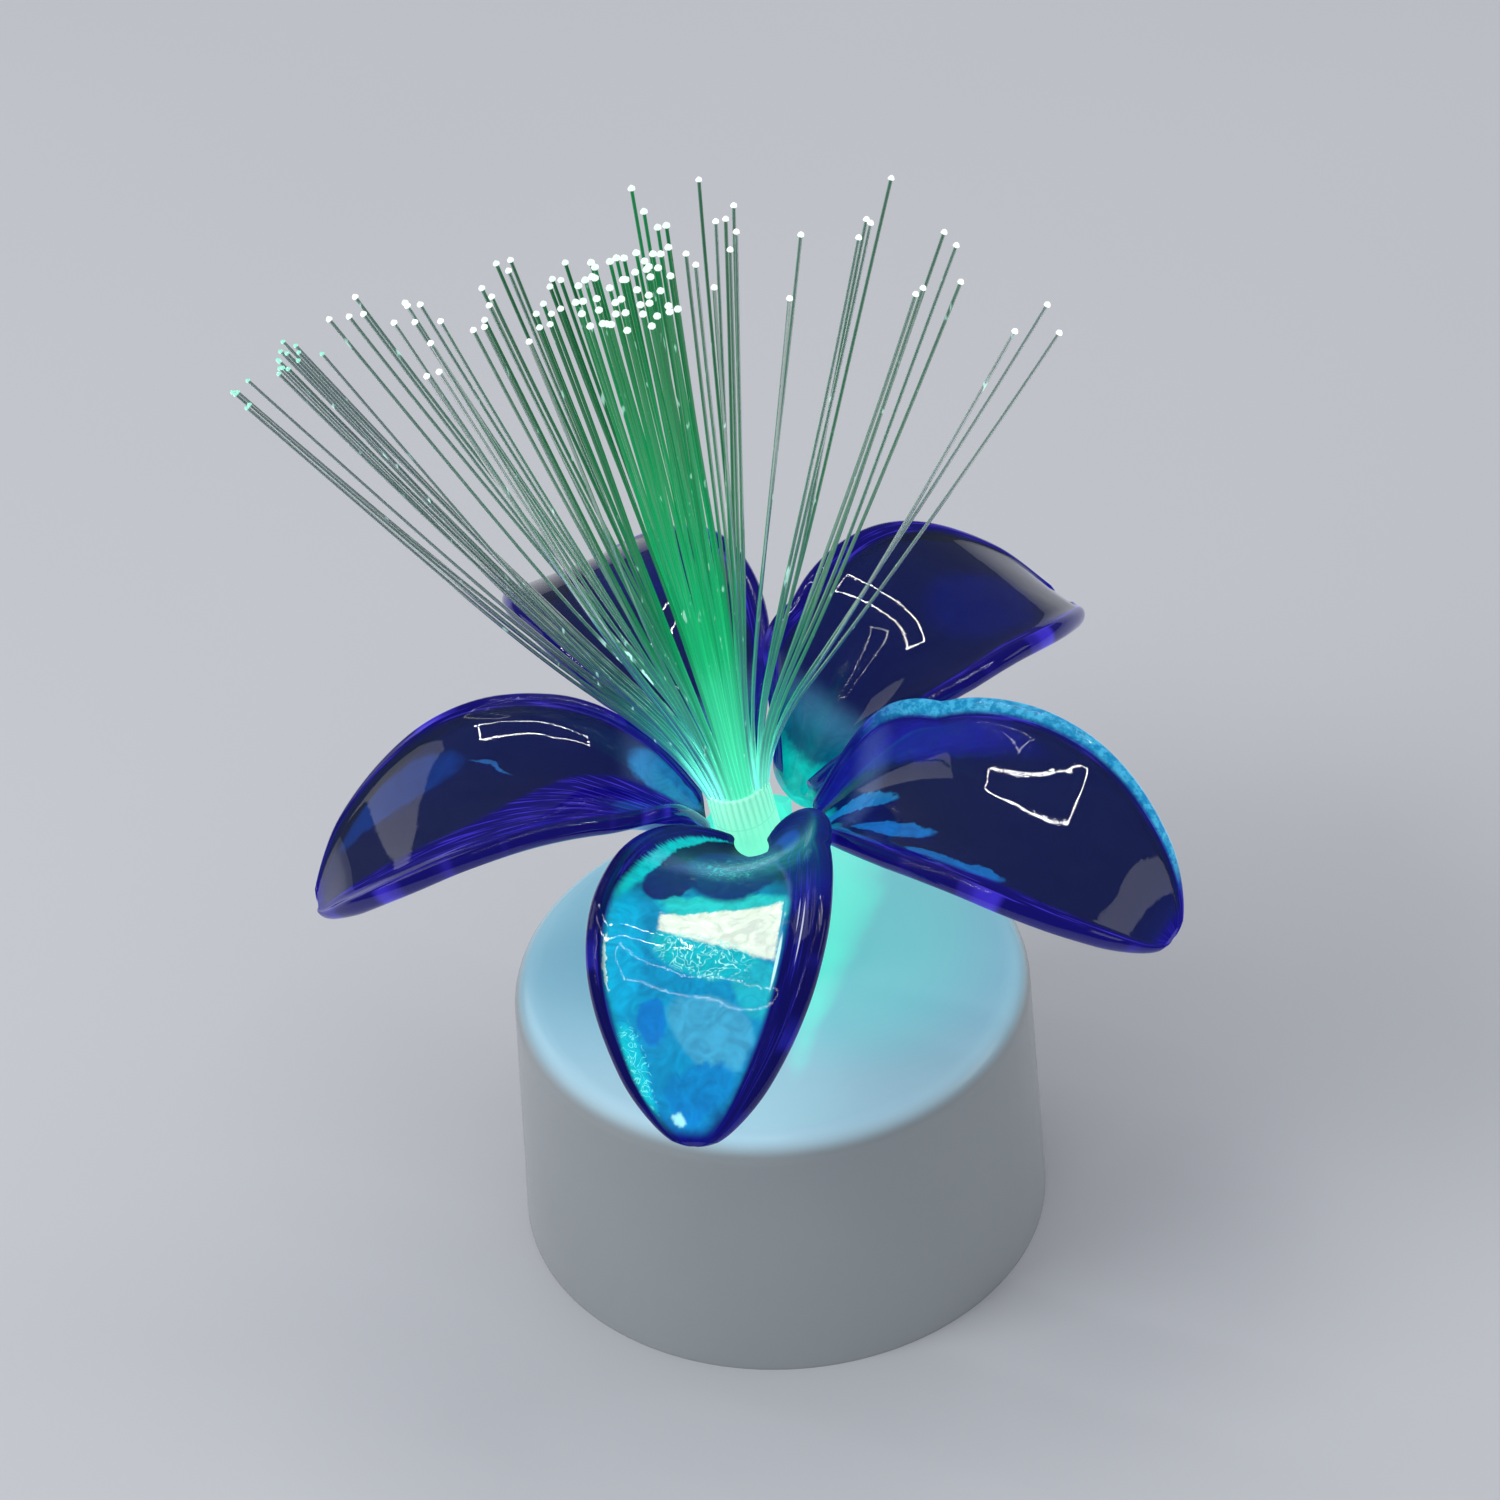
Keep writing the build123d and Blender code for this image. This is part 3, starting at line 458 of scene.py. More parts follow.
# Painted light in the petals: (along, across, half along, half across, slant, edge, color).
FRONT_SPOTS = (
    (0.70, -0.15, 0.32, 1.1, 0.0, 0.4, (0.0, 0.30, 0.48)),
    (0.62, -0.80, 0.16, 0.22, 0.0, 0.5, (0.0, 0.42, 0.62)),
    (0.72, 0.55, 0.06, 0.26, 0.10, 0.3, (0.01, 0.46, 0.50)),
    (0.81, 0.18, 0.07, 0.50, 0.06, 0.2, (0.05, 0.40, 0.54)),
    (0.79, -0.50, 0.055, 0.16, 0.0, 0.2, (0.0, 0.20, 0.50)),
    (0.915, 0.05, 0.045, 0.55, -0.03, 0.3, (0.0, 0.24, 0.48)),
    (0.87, -0.82, 0.075, 0.14, 0.0, 0.5, (0.0, 0.55, 0.60)),
    (0.63, 0.0, 0.065, 0.50, 0.05, 0.3, (0.0, 0.50, 0.50)),
    (0.51, 0.15, 0.055, 0.62, 0.04, 0.3, (0.02, 0.62, 0.55)),
    (0.25, 0.10, 0.225, 0.60, 0.05, 0.15, (0.002, 0.022, 0.12)),
    (0.385, -0.50, 0.090, 0.24, 0.0, 0.15, (0.004, 0.015, 0.10)),
    (0.24, -0.90, 0.24, 0.20, 0.0, 0.2, (0.0, 0.50, 0.48)),
    (0.96, -0.38, 0.008, 0.16, 0.0, 0.7, (0.40, 0.95, 0.85)),
    # A painted highlight on the left rim.
    (0.66, -0.905, 0.070, 0.020, 0.0, 0.2, (0.6, 1.0, 0.9)),
)
# A painted white patch of light: sides across, start along, ends along at the two sides, soft edges along
# and across, and color.
FRONT_WHITE_LIGHT = ((-0.46, 0.66), 0.515, (0.570, 0.665), (0.006, 0.030), (0.90, 1.05, 0.80))
# Nets of fine lines of painted light: (along, across, half along, half across, slant, edge, color).
FRONT_LIGHT_NETS = (
    (0.64, -0.02, 0.050, 0.46, 0.06, 0.3, (0.35, 0.95, 0.85)),
    (0.26, 0.05, 0.10, 0.40, 0.0, 0.6, (0.02, 0.30, 0.34)),
    (0.87, -0.80, 0.075, 0.16, 0.0, 0.5, (0.15, 0.90, 0.85)),
)
# Painted highlights, a painted blue sheen and painted light in the rolled edge of the front petal.
FRONT_EDGE_LIGHT_AND_HIGHLIGHTS = (
    (0.170, 0.600, 0.110, 0.140, 0.0, 0.8, (0.004, 0.040, 0.300)),
    (0.665, 0.690, 0.060, 0.016, 0.0, 0.5, (0.60, 1.00, 0.90)),
    (0.560, 0.665, 0.060, 0.012, 0.0, 0.5, (0.05, 0.40, 0.50)),
    (0.600, 0.875, 0.070, 0.008, 0.0, 0.5, (0.55, 0.60, 0.80)),
    (0.560, 0.820, 0.040, 0.006, 0.0, 0.5, (0.40, 0.45, 0.70)),
)
RIGHT_SPOTS = (
    (0.16, 0.70, 0.38, 0.26, 0.0, 0.6, (0.005, 0.004, 0.20)),
    (0.04, 0.0, 0.05, 0.30, 0.0, 0.5, (0.0, 0.34, 0.34)),
    (0.16, 0.02, 0.12, 0.12, -0.3, 0.2, (0.005, 0.18, 0.40)),
    (0.33, -0.52, 0.12, 0.12, 0.0, 0.2, (0.004, 0.14, 0.42)),
    (0.54, -0.80, 0.12, 0.07, 0.0, 0.2, (0.004, 0.13, 0.40)),
)
# The painted light on the right petal's edge, from its dim to its bright parts.
RIGHT_EDGE_GLOW = ((0.010, 0.25, 0.48), (0.06, 0.46, 0.72))
LEFT_SPOTS = (
    (0.10, -0.65, 0.09, 0.30, 0.0, 0.3, (0.01, 0.17, 0.36)),
    (0.75, -0.45, 0.16, 0.26, 0.0, 0.3, (0.0, 0.022, 0.13)),
    (0.53, -0.26, 0.008, 0.14, -0.29, 0.5, (0.015, 0.10, 0.30)),
)
BACK_SPOTS = (
    (0.64, -0.30, 0.14, 0.50, 0.0, 0.6, (0.0, 0.001, 0.06)),
    (0.08, 0.0, 0.12, 0.9, 0.0, 0.8, (0.0, 0.10, 0.14)),
    (0.03, 0.0, 0.045, 0.9, 0.0, 0.8, (0.0, 0.46, 0.38)),
)


def petal_edges(look, along, across, rims, crest, front):
    """Where a petal's deep edge is and where its dark root is, from 0 to 1."""
    inside, outside = RIM_STEP
    toothed = across
    if front:
        teeth = look.noise(1.0, 1, 0.5, look.vector(X=(along, FRONT_TEETH)))
        teeth = look.math("MULTIPLY", teeth, look.band(along, *FRONT_TEETH_FADE))
        toothed = look.math("MULTIPLY_ADD", teeth, -FRONT_TEETH_DEPTH, across)
    left = look.band(toothed, -rims[0] + inside, -rims[0] - outside)
    right = look.band(across, rims[1] - inside, rims[1] + outside)
    rim = look.math("MAXIMUM", look.math("MAXIMUM", left, right), look.band(along, *RIM_TIP))
    root = look.band(along, *(FRONT_ROOT_FADE if front else ROOT_FADE))
    if crest:
        narrow, wide, shift, start = crest
        shifted = look.math("MULTIPLY_ADD", look.band(along, narrow, wide), shift, across)
        curl = look.band(shifted, start - inside, start + inside)
        rim = look.math("MAXIMUM", rim, curl)
        if front:
            dark = look.math("MULTIPLY", curl, look.band(along, *FRONT_CREST_FADE))
            root = look.math("MAXIMUM", root, dark)
    return rim, root


def petal_glass(name, spots, rims, crest=None, edge_glow=None, front=False):
    """Clear cobalt plastic with the lamp's light painted in it, darker towards its root.

    A crest widens the right side's deep edge towards the root, and an edge_glow paints light on that side's
    outermost line. The front petal also has a painted white patch of light, nets of fine lines of painted
    light and painted highlights on its rolled edge.
    """
    gloss = FRONT_GLOSS if front else PETAL_GLOSS
    look = Look(name, Roughness=0.02, IOR=1.49, Emission_Strength=1.0, **gloss)
    along, across = look.attribute("along"), look.attribute("across")
    rim, root = petal_edges(look, along, across, rims, crest, front)
    body = look.noise(150, 3, 0.6, distortion=1.2)
    body = look.ramp(body, (0.3, (0.22, 0.36, 0.90)), (0.7, (0.30, 0.46, 1.0)))
    body = look.mix(rim, body, (0.02, 0.02, 0.50))
    look.drive("Base Color", look.mix(root, body, (0.004, 0.02, 0.12)))
    clear_root, clear = FRONT_ROOT_CLEAR if front else ROOT_CLEAR
    look.drive("Transmission Weight", look.math("MULTIPLY_ADD", root, clear_root - clear, clear))
    if front:
        dull = look.band(along, *FRONT_DULL_FADE)
        look.drive("Roughness", look.math("MULTIPLY_ADD", dull, FRONT_DULL, 0.02))

    # The painted light in it, with edges that wander, under the painted light of the rim.
    jagged = look.noise(1300, 3, 0.7)
    broad = look.math("MULTIPLY", look.noise(230, 3, 0.6), 0.05)
    wander = look.math("ADD", broad, look.math("MULTIPLY", jagged, 0.022))
    loose_along = look.math("ADD", along, look.math("SUBTRACT", wander, 0.036))
    loose_across = look.math("ADD", across, look.math("MULTIPLY_ADD", wander, 4.0, -0.144))
    glow = look.lay(spots, (0.0, 0.001, 0.008), loose_along, loose_across)
    if front:
        # The painted white patch of light.
        *wedge, color = FRONT_WHITE_LIGHT
        glow = look.mix(look.patch(loose_along, loose_across, *wedge), glow, color)
    grain = look.noise(420, 3, 0.6, distortion=2.0)
    glow = look.mix(1.0, glow, look.ramp(grain, (0.35, (0.78,) * 3), (0.65, (1.12,) * 3)), "MULTIPLY")
    if front:
        # Nets of fine lines of painted light.
        light_thread = look.math("SUBTRACT", look.noise(700, 2, 0.6, distortion=1.5), 0.5)
        light_thread = look.band(look.math("ABSOLUTE", light_thread), 0.030, 0.010)
        glow = look.lay(FRONT_LIGHT_NETS, glow, loose_along, loose_across, light_thread)
    # Bright streaks of painted light along the deep edge.
    light_streaks = look.noise(1.0, 2, 0.5, look.vector(X=(along, 7.0), Y=(across, 40.0)))
    rim_glow = look.mix(look.band(light_streaks, 0.52, 0.68), *(FRONT_RIM_GLOWS if front else RIM_GLOWS))
    glow = look.mix(rim, glow, rim_glow)
    # Painted highlights and painted light over the front petal's rolled edge.
    if front:
        glow = look.lay(FRONT_EDGE_LIGHT_AND_HIGHLIGHTS, glow, along, across)
    if edge_glow:
        line = look.math("MULTIPLY", look.band(across, *EDGE_LINE), look.band(along, *EDGE_BEGINS))
        line = look.math("MULTIPLY", line, look.band(along, *EDGE_ENDS))
        glow = look.mix(line, glow, look.mix(look.band(jagged, 0.40, 0.62), *edge_glow))
    look.drive("Emission Color", glow)
    look.absorb((0.10, 0.38, 0.79), 8000.0)
    ripple = look.math("ADD", look.noise(110, 2, 0.5), look.math("MULTIPLY", look.noise(650, 3, 0.6), 0.22))
    ripple = look.math("ADD", ripple, look.math("MULTIPLY", look.noise(2200, 2, 0.5), 0.035))
    look.bump(ripple, 0.35, 0.12)
    return look.material


# How clear the fibers are, from the unlit ones to the brightest, and between which glows that changes.
FIBER_CLEAR = (0.9, 0.04)
FIBER_CLEAR_GLOWS = (0.02, 0.36)


def fiber_glass():
    """Clear drawn plastic rods: green where the lamp feeds them, with bright cut ends."""
    look = Look("fiber_glass", Roughness=0.05, IOR=1.49, Emission_Strength=1.0)
    along, glow, tip = look.attribute("along"), look.attribute("glow"), look.attribute("tip")
    green = look.ramp(
        along,
        (0.0, (0.10, 0.78, 0.50)),
        (0.14, (0.07, 0.74, 0.43)),
        (0.40, (0.010, 0.42, 0.15)),
        (0.95, (0.001, 0.13, 0.035)),
    )
    clear = look.ramp(
        along,
        (0.0, (0.10, 0.62, 0.44)),
        (0.11, (0.09, 0.52, 0.38)),
        (0.18, (0.01, 0.09, 0.08)),
        (0.30, (0.002, 0.015, 0.015)),
        (0.6, (0.0, 0.001, 0.001)),
    )
    # Painted glints: specks all over, and many along a stretch of a few fibers.
    glint_speck = look.band(look.noise(1100, 2, 0.5, look.stretched((1, 1, 0.3))), 0.68, 0.75)
    glints = look.band(look.noise(1500, 2, 0.5, look.stretched((1, 1, 0.5))), 0.52, 0.60)
    glints = look.math("MULTIPLY", glints, look.attribute("glinting"))
    glint_speck = look.math("MAXIMUM", look.math("MULTIPLY", glint_speck, 0.6), glints)
    shine = look.mix(glint_speck, look.mix(glow, clear, green), (0.45, 0.85, 0.75))
    bead = look.mix(look.band(tip, 0.3, 1.0), (0.20, 0.66, 0.45), (0.92, 1.0, 0.97))
    look.drive("Emission Color", look.mix(look.band(tip, 0.1, 0.3), shine, bead))
    dense = look.band(glow, *FIBER_CLEAR_GLOWS)
    look.drive("Base Color", look.mix(dense, (0.30, 0.40, 0.40), (0.004, 0.10, 0.035)))
    unlit, lit = FIBER_CLEAR
    look.drive("Transmission Weight", look.math("MULTIPLY_ADD", dense, lit - unlit, unlit))
    return look.material


def plain(name, color, dark, rough, scale, **sockets):
    """Moulded or rolled surface with slight cloudiness and grain."""
    look = Look(name, **sockets)
    cloud = look.noise(scale, 4, 0.6)
    look.drive("Base Color", look.ramp(cloud, (0.3, dark), (0.7, color)))
    finer = look.noise(scale * 3, 3)
    look.drive("Roughness", look.ramp(finer, (0.3, (rough * 0.8,) * 3), (0.7, (rough,) * 3)))
    look.bump(look.noise(scale * 8, 2), 0.2, 0.03)
    return look.material


def lamplit(name, color, low, high, glow_low, glow_high):
    """Translucent plastic round the lamp, lit from low to high, in millimetres."""
    look = Look(name, Roughness=0.22, Transmission_Weight=0.35, IOR=1.49, Emission_Strength=1.0)
    rise = look.band(look.axis(2), low * MM, high * MM)
    cloud = look.ramp(look.noise(240, 3, 0.6), (0.3, (0.82,) * 3), (0.7, (1.0,) * 3))
    look.drive("Base Color", look.mix(1.0, color, cloud, "MULTIPLY"))
    look.drive("Emission Color", look.mix(1.0, look.mix(rise, glow_low, glow_high), cloud, "MULTIPLY"))
    look.bump(look.noise(130, 2), 0.15, 0.08)
    return look.material


def shade(nodes, material):
    """Give CAD nodes this material in all their slots."""
    for name in nodes:
        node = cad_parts[name]
        if not node.material_slots:
            node.data.materials.append(material)
        for own in node.material_slots:
            own.material = material


# ================================================================ petals
def bezier(controls, t):
    """Value at t of a cubic curve with four controls."""
    first, second, third, last = controls
    s = 1 - t
    return s**3 * first + 3 * s**2 * t * second + 3 * s * t**2 * third + t**3 * last


def bezier_slope(controls, t):
    """How fast that curve rises at t."""
    first, second, third, last = controls
    s = 1 - t
    return 3 * s**2 * (second - first) + 6 * s * t * (third - second) + 3 * t**2 * (last - third)


def smooth(value, low, high):
    """0 up to low, 1 from high and smooth between them."""
    share = min(1.0, max(0.0, (value - low) / (high - low)))
    return share * share * (3 - 2 * share)


def petal_ring(t, twist):
    """Points round the petal's section at share t of its length, each with its place across."""
    slope = atan2(bezier_slope(PETAL_RISE, t), bezier_slope(PETAL_REACH, t))
    tilt = slope * min(1, t / PETAL_UPRIGHT_UNTIL)
    half_width = bezier(PETAL_HALF_WIDTH, t) * sqrt(1 - t**PETAL_TIP_POWER)
    rim_height = bezier(PETAL_RIM_HEIGHT, t) * (1 - t**PETAL_TIP_POWER)
    arch = (half_width**2 + rim_height**2) / (2 * rim_height)
    rim_angle = atan2(half_width, arch - rim_height)
    origin = Vector((bezier(PETAL_REACH, t), 0, bezier(PETAL_RISE, t)))
    turn = Matrix.Rotation(radians(twist) * min(1, t / PETAL_UPRIGHT_UNTIL), 3, (cos(tilt), 0, sin(tilt)))
    side_axis = turn @ Vector((0, 1, 0))
    up_axis = turn @ Vector((-sin(tilt), 0, cos(tilt)))
    middle = arch - PETAL_WALL / 2
    last_angle = rim_angle + PETAL_LOBE * sin(pi * min(1, t / PETAL_LOBE_END)) / arch

    def at(angle, radius):
        return origin + side_axis * (radius * sin(angle)) + up_axis * (arch - radius * cos(angle))

    thin = 1 - PETAL_THINNED * smooth(t, PETAL_THIN_FROM, 1.0)
    bead = PETAL_BEAD * smooth(t, *PETAL_BEAD_GROWS)

    def half_wall(share):
        return thin * (PETAL_WALL / 2 + bead * smooth(abs(share), PETAL_BEAD_FROM, 1.0))

    def turned(share):
        return -rim_angle + (rim_angle + last_angle) * (share + 1) / 2

    ring = []
    for step in range(PETAL_ACROSS + 1):
        share = 2 * step / PETAL_ACROSS - 1
        ring.append((at(turned(share), middle + half_wall(share)), share))
    half = half_wall(1.0)
    for step in range(1, PETAL_RIM_STEPS):
        turn = pi * step / PETAL_RIM_STEPS
        ring.append((at(last_angle + half * sin(turn) / middle, middle + half * cos(turn)), 1.0))
    for step in range(PETAL_ACROSS + 1):
        share = 1 - 2 * step / PETAL_ACROSS
        ring.append((at(turned(share), middle - half_wall(share)), share))
    for step in range(1, PETAL_RIM_STEPS):
        turn = pi * step / PETAL_RIM_STEPS
        ring.append((at(-rim_angle - half * sin(turn) / middle, middle - half * cos(turn)), -1.0))
    return ring


def petal(side, material):
    """One blown-looking petal, a little rippled, in place of its node."""
    tilt_x, tilt_y = (radians(tilt) for tilt in FLOWER_TILT)
    place = Matrix.Translation((0, 0, FLOWER_HEIGHT))
    place @= Matrix.Rotation(tilt_x, 4, "X") @ Matrix.Rotation(tilt_y, 4, "Y")
    place @= Matrix.Rotation(radians(PETAL_AZIMUTHS[side]), 4, "Z")
    verts, along, across = [], [], []
    for station in range(PETAL_STATIONS + 1):
        t = PETAL_LAST * sin(pi / 2 * station / PETAL_STATIONS)
        ring = petal_ring(t, PETAL_TWISTS[side])
        for point, share in ring:
            spot = point / PETAL_RIPPLE_SCALE + Vector((PETAL_AZIMUTHS[side], 0, 0))
            rippled = point + noise.noise_vector(spot) * PETAL_RIPPLE
            verts.append((place @ rippled) * MM)
            along.append(t)
            across.append(share)
    slope = atan2(bezier_slope(PETAL_RISE, t), bezier_slope(PETAL_REACH, t))
    ahead = Vector((cos(slope), 0, sin(slope)))
    middle = sum((point for point, share in ring), Vector()) / len(ring)
    for step in range(1, PETAL_END_STEPS + 1):
        turn = pi / 2 * step / (PETAL_END_STEPS + 1)
        for point, share in ring:
            drawn = middle + (point - middle) * cos(turn) + ahead * PETAL_END * sin(turn) ** 2
            verts.append((place @ drawn) * MM)
            along.append(1.0)
            across.append(share * cos(turn))
    faces = loop_faces(PETAL_STATIONS + 1 + PETAL_END_STEPS, len(ring))
    piece = mesh_piece(f"petal_{side}_clear", verts, faces, {"along": along, "across": across})
    piece.data.materials.append(material)
    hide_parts(f"petal_{side}")
    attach(piece, "lamp")


# ================================================================ fibers
lamp_axis = Vector((-sin(radians(BUNDLE_LEAN)), 0, cos(radians(BUNDLE_LEAN))))
lamp_side = Vector((lamp_axis.z, 0, -lamp_axis.x))
lamp_depth = lamp_axis.cross(lamp_side)


def lamp_point(x, y, height):
    """A point of the leaning bundle, in millimetres of the frame."""
    return Vector((0, 0, LED_SEAT)) + lamp_side * x + lamp_depth * y + lamp_axis * height


def bundle_places():
    """Places of the fibers in the sleeve: one in the middle and rings of six, twelve and more round it."""
    places = [(0.0, 0.0)]
    for ring in range(1, FIBER_RINGS + 1):
        for number in range(6 * ring):
            turn = radians(60 * number / ring)
            places.append((ring * FIBER_PITCH * cos(turn), ring * FIBER_PITCH * sin(turn)))
    return places


def deal_out(places, column):
    """Give a column's places to its tufts, front ones first, each with its own directions."""
    places = sorted(places, key=lambda place: place[1])
    directions = []
    for sideways, backward, half_width, half_depth, count in column:
        own, places = places[:count], places[count:]
        middle_x = sum(x for x, y in own) / count
        middle_y = sum(y for x, y in own) / count
        reach_x = max(abs(x - middle_x) for x, y in own) + FIBER_RADIUS
        reach_y = max(abs(y - middle_y) for x, y in own) + FIBER_RADIUS
        for x, y in own:
            lean_x = sideways + half_width * (x - middle_x) / reach_x
            lean_y = backward + half_depth * (y - middle_y) / reach_y
            directions.append((x, y, lean_x, lean_y))
    return directions


def fiber_corners(x, y, lean_x, lean_y, length):
    """Corners of one fiber's route from the sleeve to its tip; a leaning one first goes further outward."""
    heading = Vector((tan(radians(lean_x)), tan(radians(lean_y)), 1)).normalized()
    knee = lamp_point(x, y, SLEEVE_TOP + FIBER_EXIT_BEND)
    free = length - FIBER_EXIT_BEND
    start = heading
    if max(abs(lean_x), abs(lean_y)) >= FIBER_CURVED_FROM:
        bent = (tan(radians(lean_x * FIBER_OUTWARD)), tan(radians(lean_y * FIBER_OUTWARD)), 1)
        start = Vector(bent).normalized()
    middle = knee + start * free * FIBER_SWEEP_SHARE
    return [lamp_point(x, y, FIBER_ROOT), knee, middle, knee + heading * free]


def smooth_route(corners, steps):
    """Points of a quadratic B-spline that starts at the first corner and ends at the last one."""
    first, second, third, last = corners
    join = (second + third) / 2
    route = []
    for a, b, c, count in ((first, second, join, steps // 3), (join, third, last, steps - steps // 3)):
        for step in range(count):
            t = step / count
            route.append(a * (1 - t) ** 2 + b * 2 * t * (1 - t) + c * t**2)
    return route + [last]


def fiber_tube(route, rng, column, number, glow, verts, faces, marks):
    """One round rod with a bright bead of light at its tip."""
    bow = Vector((rng.uniform(-1, 1), rng.uniform(-1, 1), 0)) * FIBER_BOW
    last = len(route) - 1
    bead = BEAD_RADIUS * COLUMN_BEADS[column]
    base = len(verts)
    heading = (route[-1] - route[-2]).normalized()
    rings = []
    for step, point in enumerate(route[:-1]):
        share = step / last
        rings.append((point + bow * sin(pi * share) ** 2, FIBER_RADIUS, share, 0.0))
    for back in ROD_ENDS:
        rings.append((route[-1] - heading * bead * back, FIBER_RADIUS, 1.0, 0.0))
    for share, grown in BEAD_RINGS:
        end = route[-1] + heading * bead * (share * BEAD_LENGTH - BEAD_BACK)
        rings.append((end, bead * grown, 1.0, COLUMN_TIPS[column]))
    for place, (point, radius, share, tip) in enumerate(rings):
        after = rings[min(place + 1, last)][0]
        before = rings[max(min(place, last) - 1, 0)][0]
        ahead = (after - before).normalized()
        side = ahead.cross(Vector((0, 1, 0))).normalized()
        depth = side.cross(ahead)
        # Painted glints along a stretch of a few fibers.
        glinting = 0.0
        if (column, number) in GLINT_FIBERS:
            glinting = smooth(share, GLINT_SPAN[0], GLINT_SPAN[1]) * (1 - smooth(share, GLINT_SPAN[2], GLINT_SPAN[3]))
        for corner in range(FIBER_SIDES):
            turn = 2 * pi * corner / FIBER_SIDES
            verts.append((point + side * radius * cos(turn) + depth * radius * sin(turn)) * MM)
            marks["along"].append(share)
            marks["glow"].append(glow)
            marks["tip"].append(tip)
            marks["glinting"].append(glinting)
    for face in loop_faces(len(rings), FIBER_SIDES):
        faces.append(tuple(base + corner for corner in face))


def fiber_tufts(material):
    """The eleven tufts of the spray, each in place of its node."""
    rng = random.Random(FIBER_SEED)
    free_places = sorted(bundle_places())
    for column, tufts in enumerate(TUFT_COLUMNS):
        size = sum(tuft[-1] for tuft in tufts)
        own, free_places = free_places[:size], free_places[size:]
        verts, faces, marks = [], [], {"along": [], "glow": [], "tip": [], "glinting": []}
        for number, (x, y, lean_x, lean_y) in enumerate(deal_out(own, tufts)):
            glow = min(1.0, COLUMN_GLOW[column] * rng.uniform(*GLOW_SPREAD))
            lean_x += rng.uniform(-1, 1) * FIBER_STRAY
            lean_y += rng.uniform(-1, 1) * FIBER_STRAY
            free = FIBER_LENGTH - FIBER_SHORTER * rng.random()
            route = smooth_route(fiber_corners(x, y, lean_x, lean_y, free), FIBER_STEPS)
            fiber_tube(route, rng, column, number, glow, verts, faces, marks)
        node = f"fiber_tuft_{column + 1:02}"
        piece = mesh_piece(f"{node}_lit", verts, faces, marks)
        piece.data.materials.append(material)
        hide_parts(node)
        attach(piece, "lamp")


# ================================================================ sleeve
def sleeve_glass():
    """Pale soft tube lit from inside; the fibers show through its upper part, above a faint line."""
    look = Look("sleeve_glass", Roughness=0.25, Transmission_Weight=0.25, IOR=1.45, Emission_Strength=0.8)
    height = look.attribute("along")
    clear = look.math("MULTIPLY_ADD", look.band(height, 0.5, 0.9), 0.4, 0.08)
    ridge = look.math("MULTIPLY", look.attribute("ridge"), clear)
    line = look.math("MULTIPLY", look.band(height, 0.700, 0.712), look.band(height, 0.728, 0.716))
    darker = look.math("MAXIMUM", ridge, look.math("MULTIPLY", line, 0.35))
    low, middle, high = (0.06, 0.50, 0.34), (0.14, 0.68, 0.46), (0.26, 0.80, 0.56)
    glow = look.ramp(height, (0.0, low), (0.6, middle), (1.0, high))
    look.drive("Emission Color", look.mix(darker, glow, (0.02, 0.30, 0.18)))
    look.drive("Base Color", look.mix(darker, (0.45, 0.70, 0.58), (0.25, 0.50, 0.40)))
    return look.material


def sleeve(material):
    """Thin tube pressed round the bundle, so that the outer fibers show as faint ridges."""
    steps = [(SLEEVE_BOTTOM, SLEEVE_RADIUS), (SLEEVE_BOTTOM + SLEEVE_FOOT, SLEEVE_RADIUS)]
    steps += [(SLEEVE_TOP + above, SLEEVE_RADIUS + wider) for above, wider in SLEEVE_MOUTH]
    steps += [(SLEEVE_TOP, SLEEVE_BORE), (SLEEVE_BOTTOM, SLEEVE_BORE)]
    verts, marks = [], {"along": [], "ridge": []}
    for height, radius in steps:
        for number in range(SLEEVE_POINTS):
            turn = 2 * pi * number / SLEEVE_POINTS
            ridge = 0.5 - 0.5 * cos(SLEEVE_RIDGES * turn)
            own = radius - SLEEVE_GROOVE * ridge if radius > SLEEVE_BORE else radius
            verts.append(lamp_point(own * cos(turn), own * sin(turn), height) * MM)
            marks["along"].append((height - SLEEVE_BOTTOM) / (SLEEVE_TOP - SLEEVE_BOTTOM))
            marks["ridge"].append(ridge)
    faces = loop_faces(len(steps), SLEEVE_POINTS, closed_ends=False)
    last = (len(steps) - 1) * SLEEVE_POINTS
    for number in range(SLEEVE_POINTS):
        after = (number + 1) % SLEEVE_POINTS
        faces.append((last + number, last + after, after, number))
    piece = mesh_piece("fiber_sleeve_lit", verts, faces, marks)
    piece.data.materials.append(material)
    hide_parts("fiber_sleeve")
    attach(piece, "lamp")


# ================================================================ stage, light and camera
def floor():
    """A plain pale floor just under the lamp."""
    look = Look("floor", Roughness=0.75)
    cloud = look.noise(3, 3)
    look.drive("Base Color", look.ramp(cloud, (0.3, (0.56, 0.57, 0.60)), (0.7, (0.60, 0.61, 0.64))))
    bpy.ops.mesh.primitive_plane_add(size=FLOOR_SIZE, location=(0, 0, -FLOOR_GAP))
    plane = bpy.context.object
    plane.name = "floor"
    plane.data.materials.append(look.material)


def area_light(name, size, shine, place, turn, seen=True):
    """A flat lamp whose face is as bright as shine says, seen or not seen in shiny things."""
    lamp = bpy.data.lights.new(name, "AREA")
    lamp.shape = "RECTANGLE"
    lamp.size, lamp.size_y = size
    lamp.energy = shine * pi * size[0] * size[1]
    holder = bpy.data.objects.new(name, lamp)
    holder.location = place
    holder.rotation_euler = turn
    holder.visible_glossy = seen
    bpy.context.scene.collection.objects.link(holder)


def panel(name, size, shine, place, seen=True):
    """A flat lamp that faces the flower."""
    facing = PANEL_AIM - Vector(place)
    area_light(name, size, shine, place, facing.to_track_quat("-Z", "Y").to_euler(), seen)


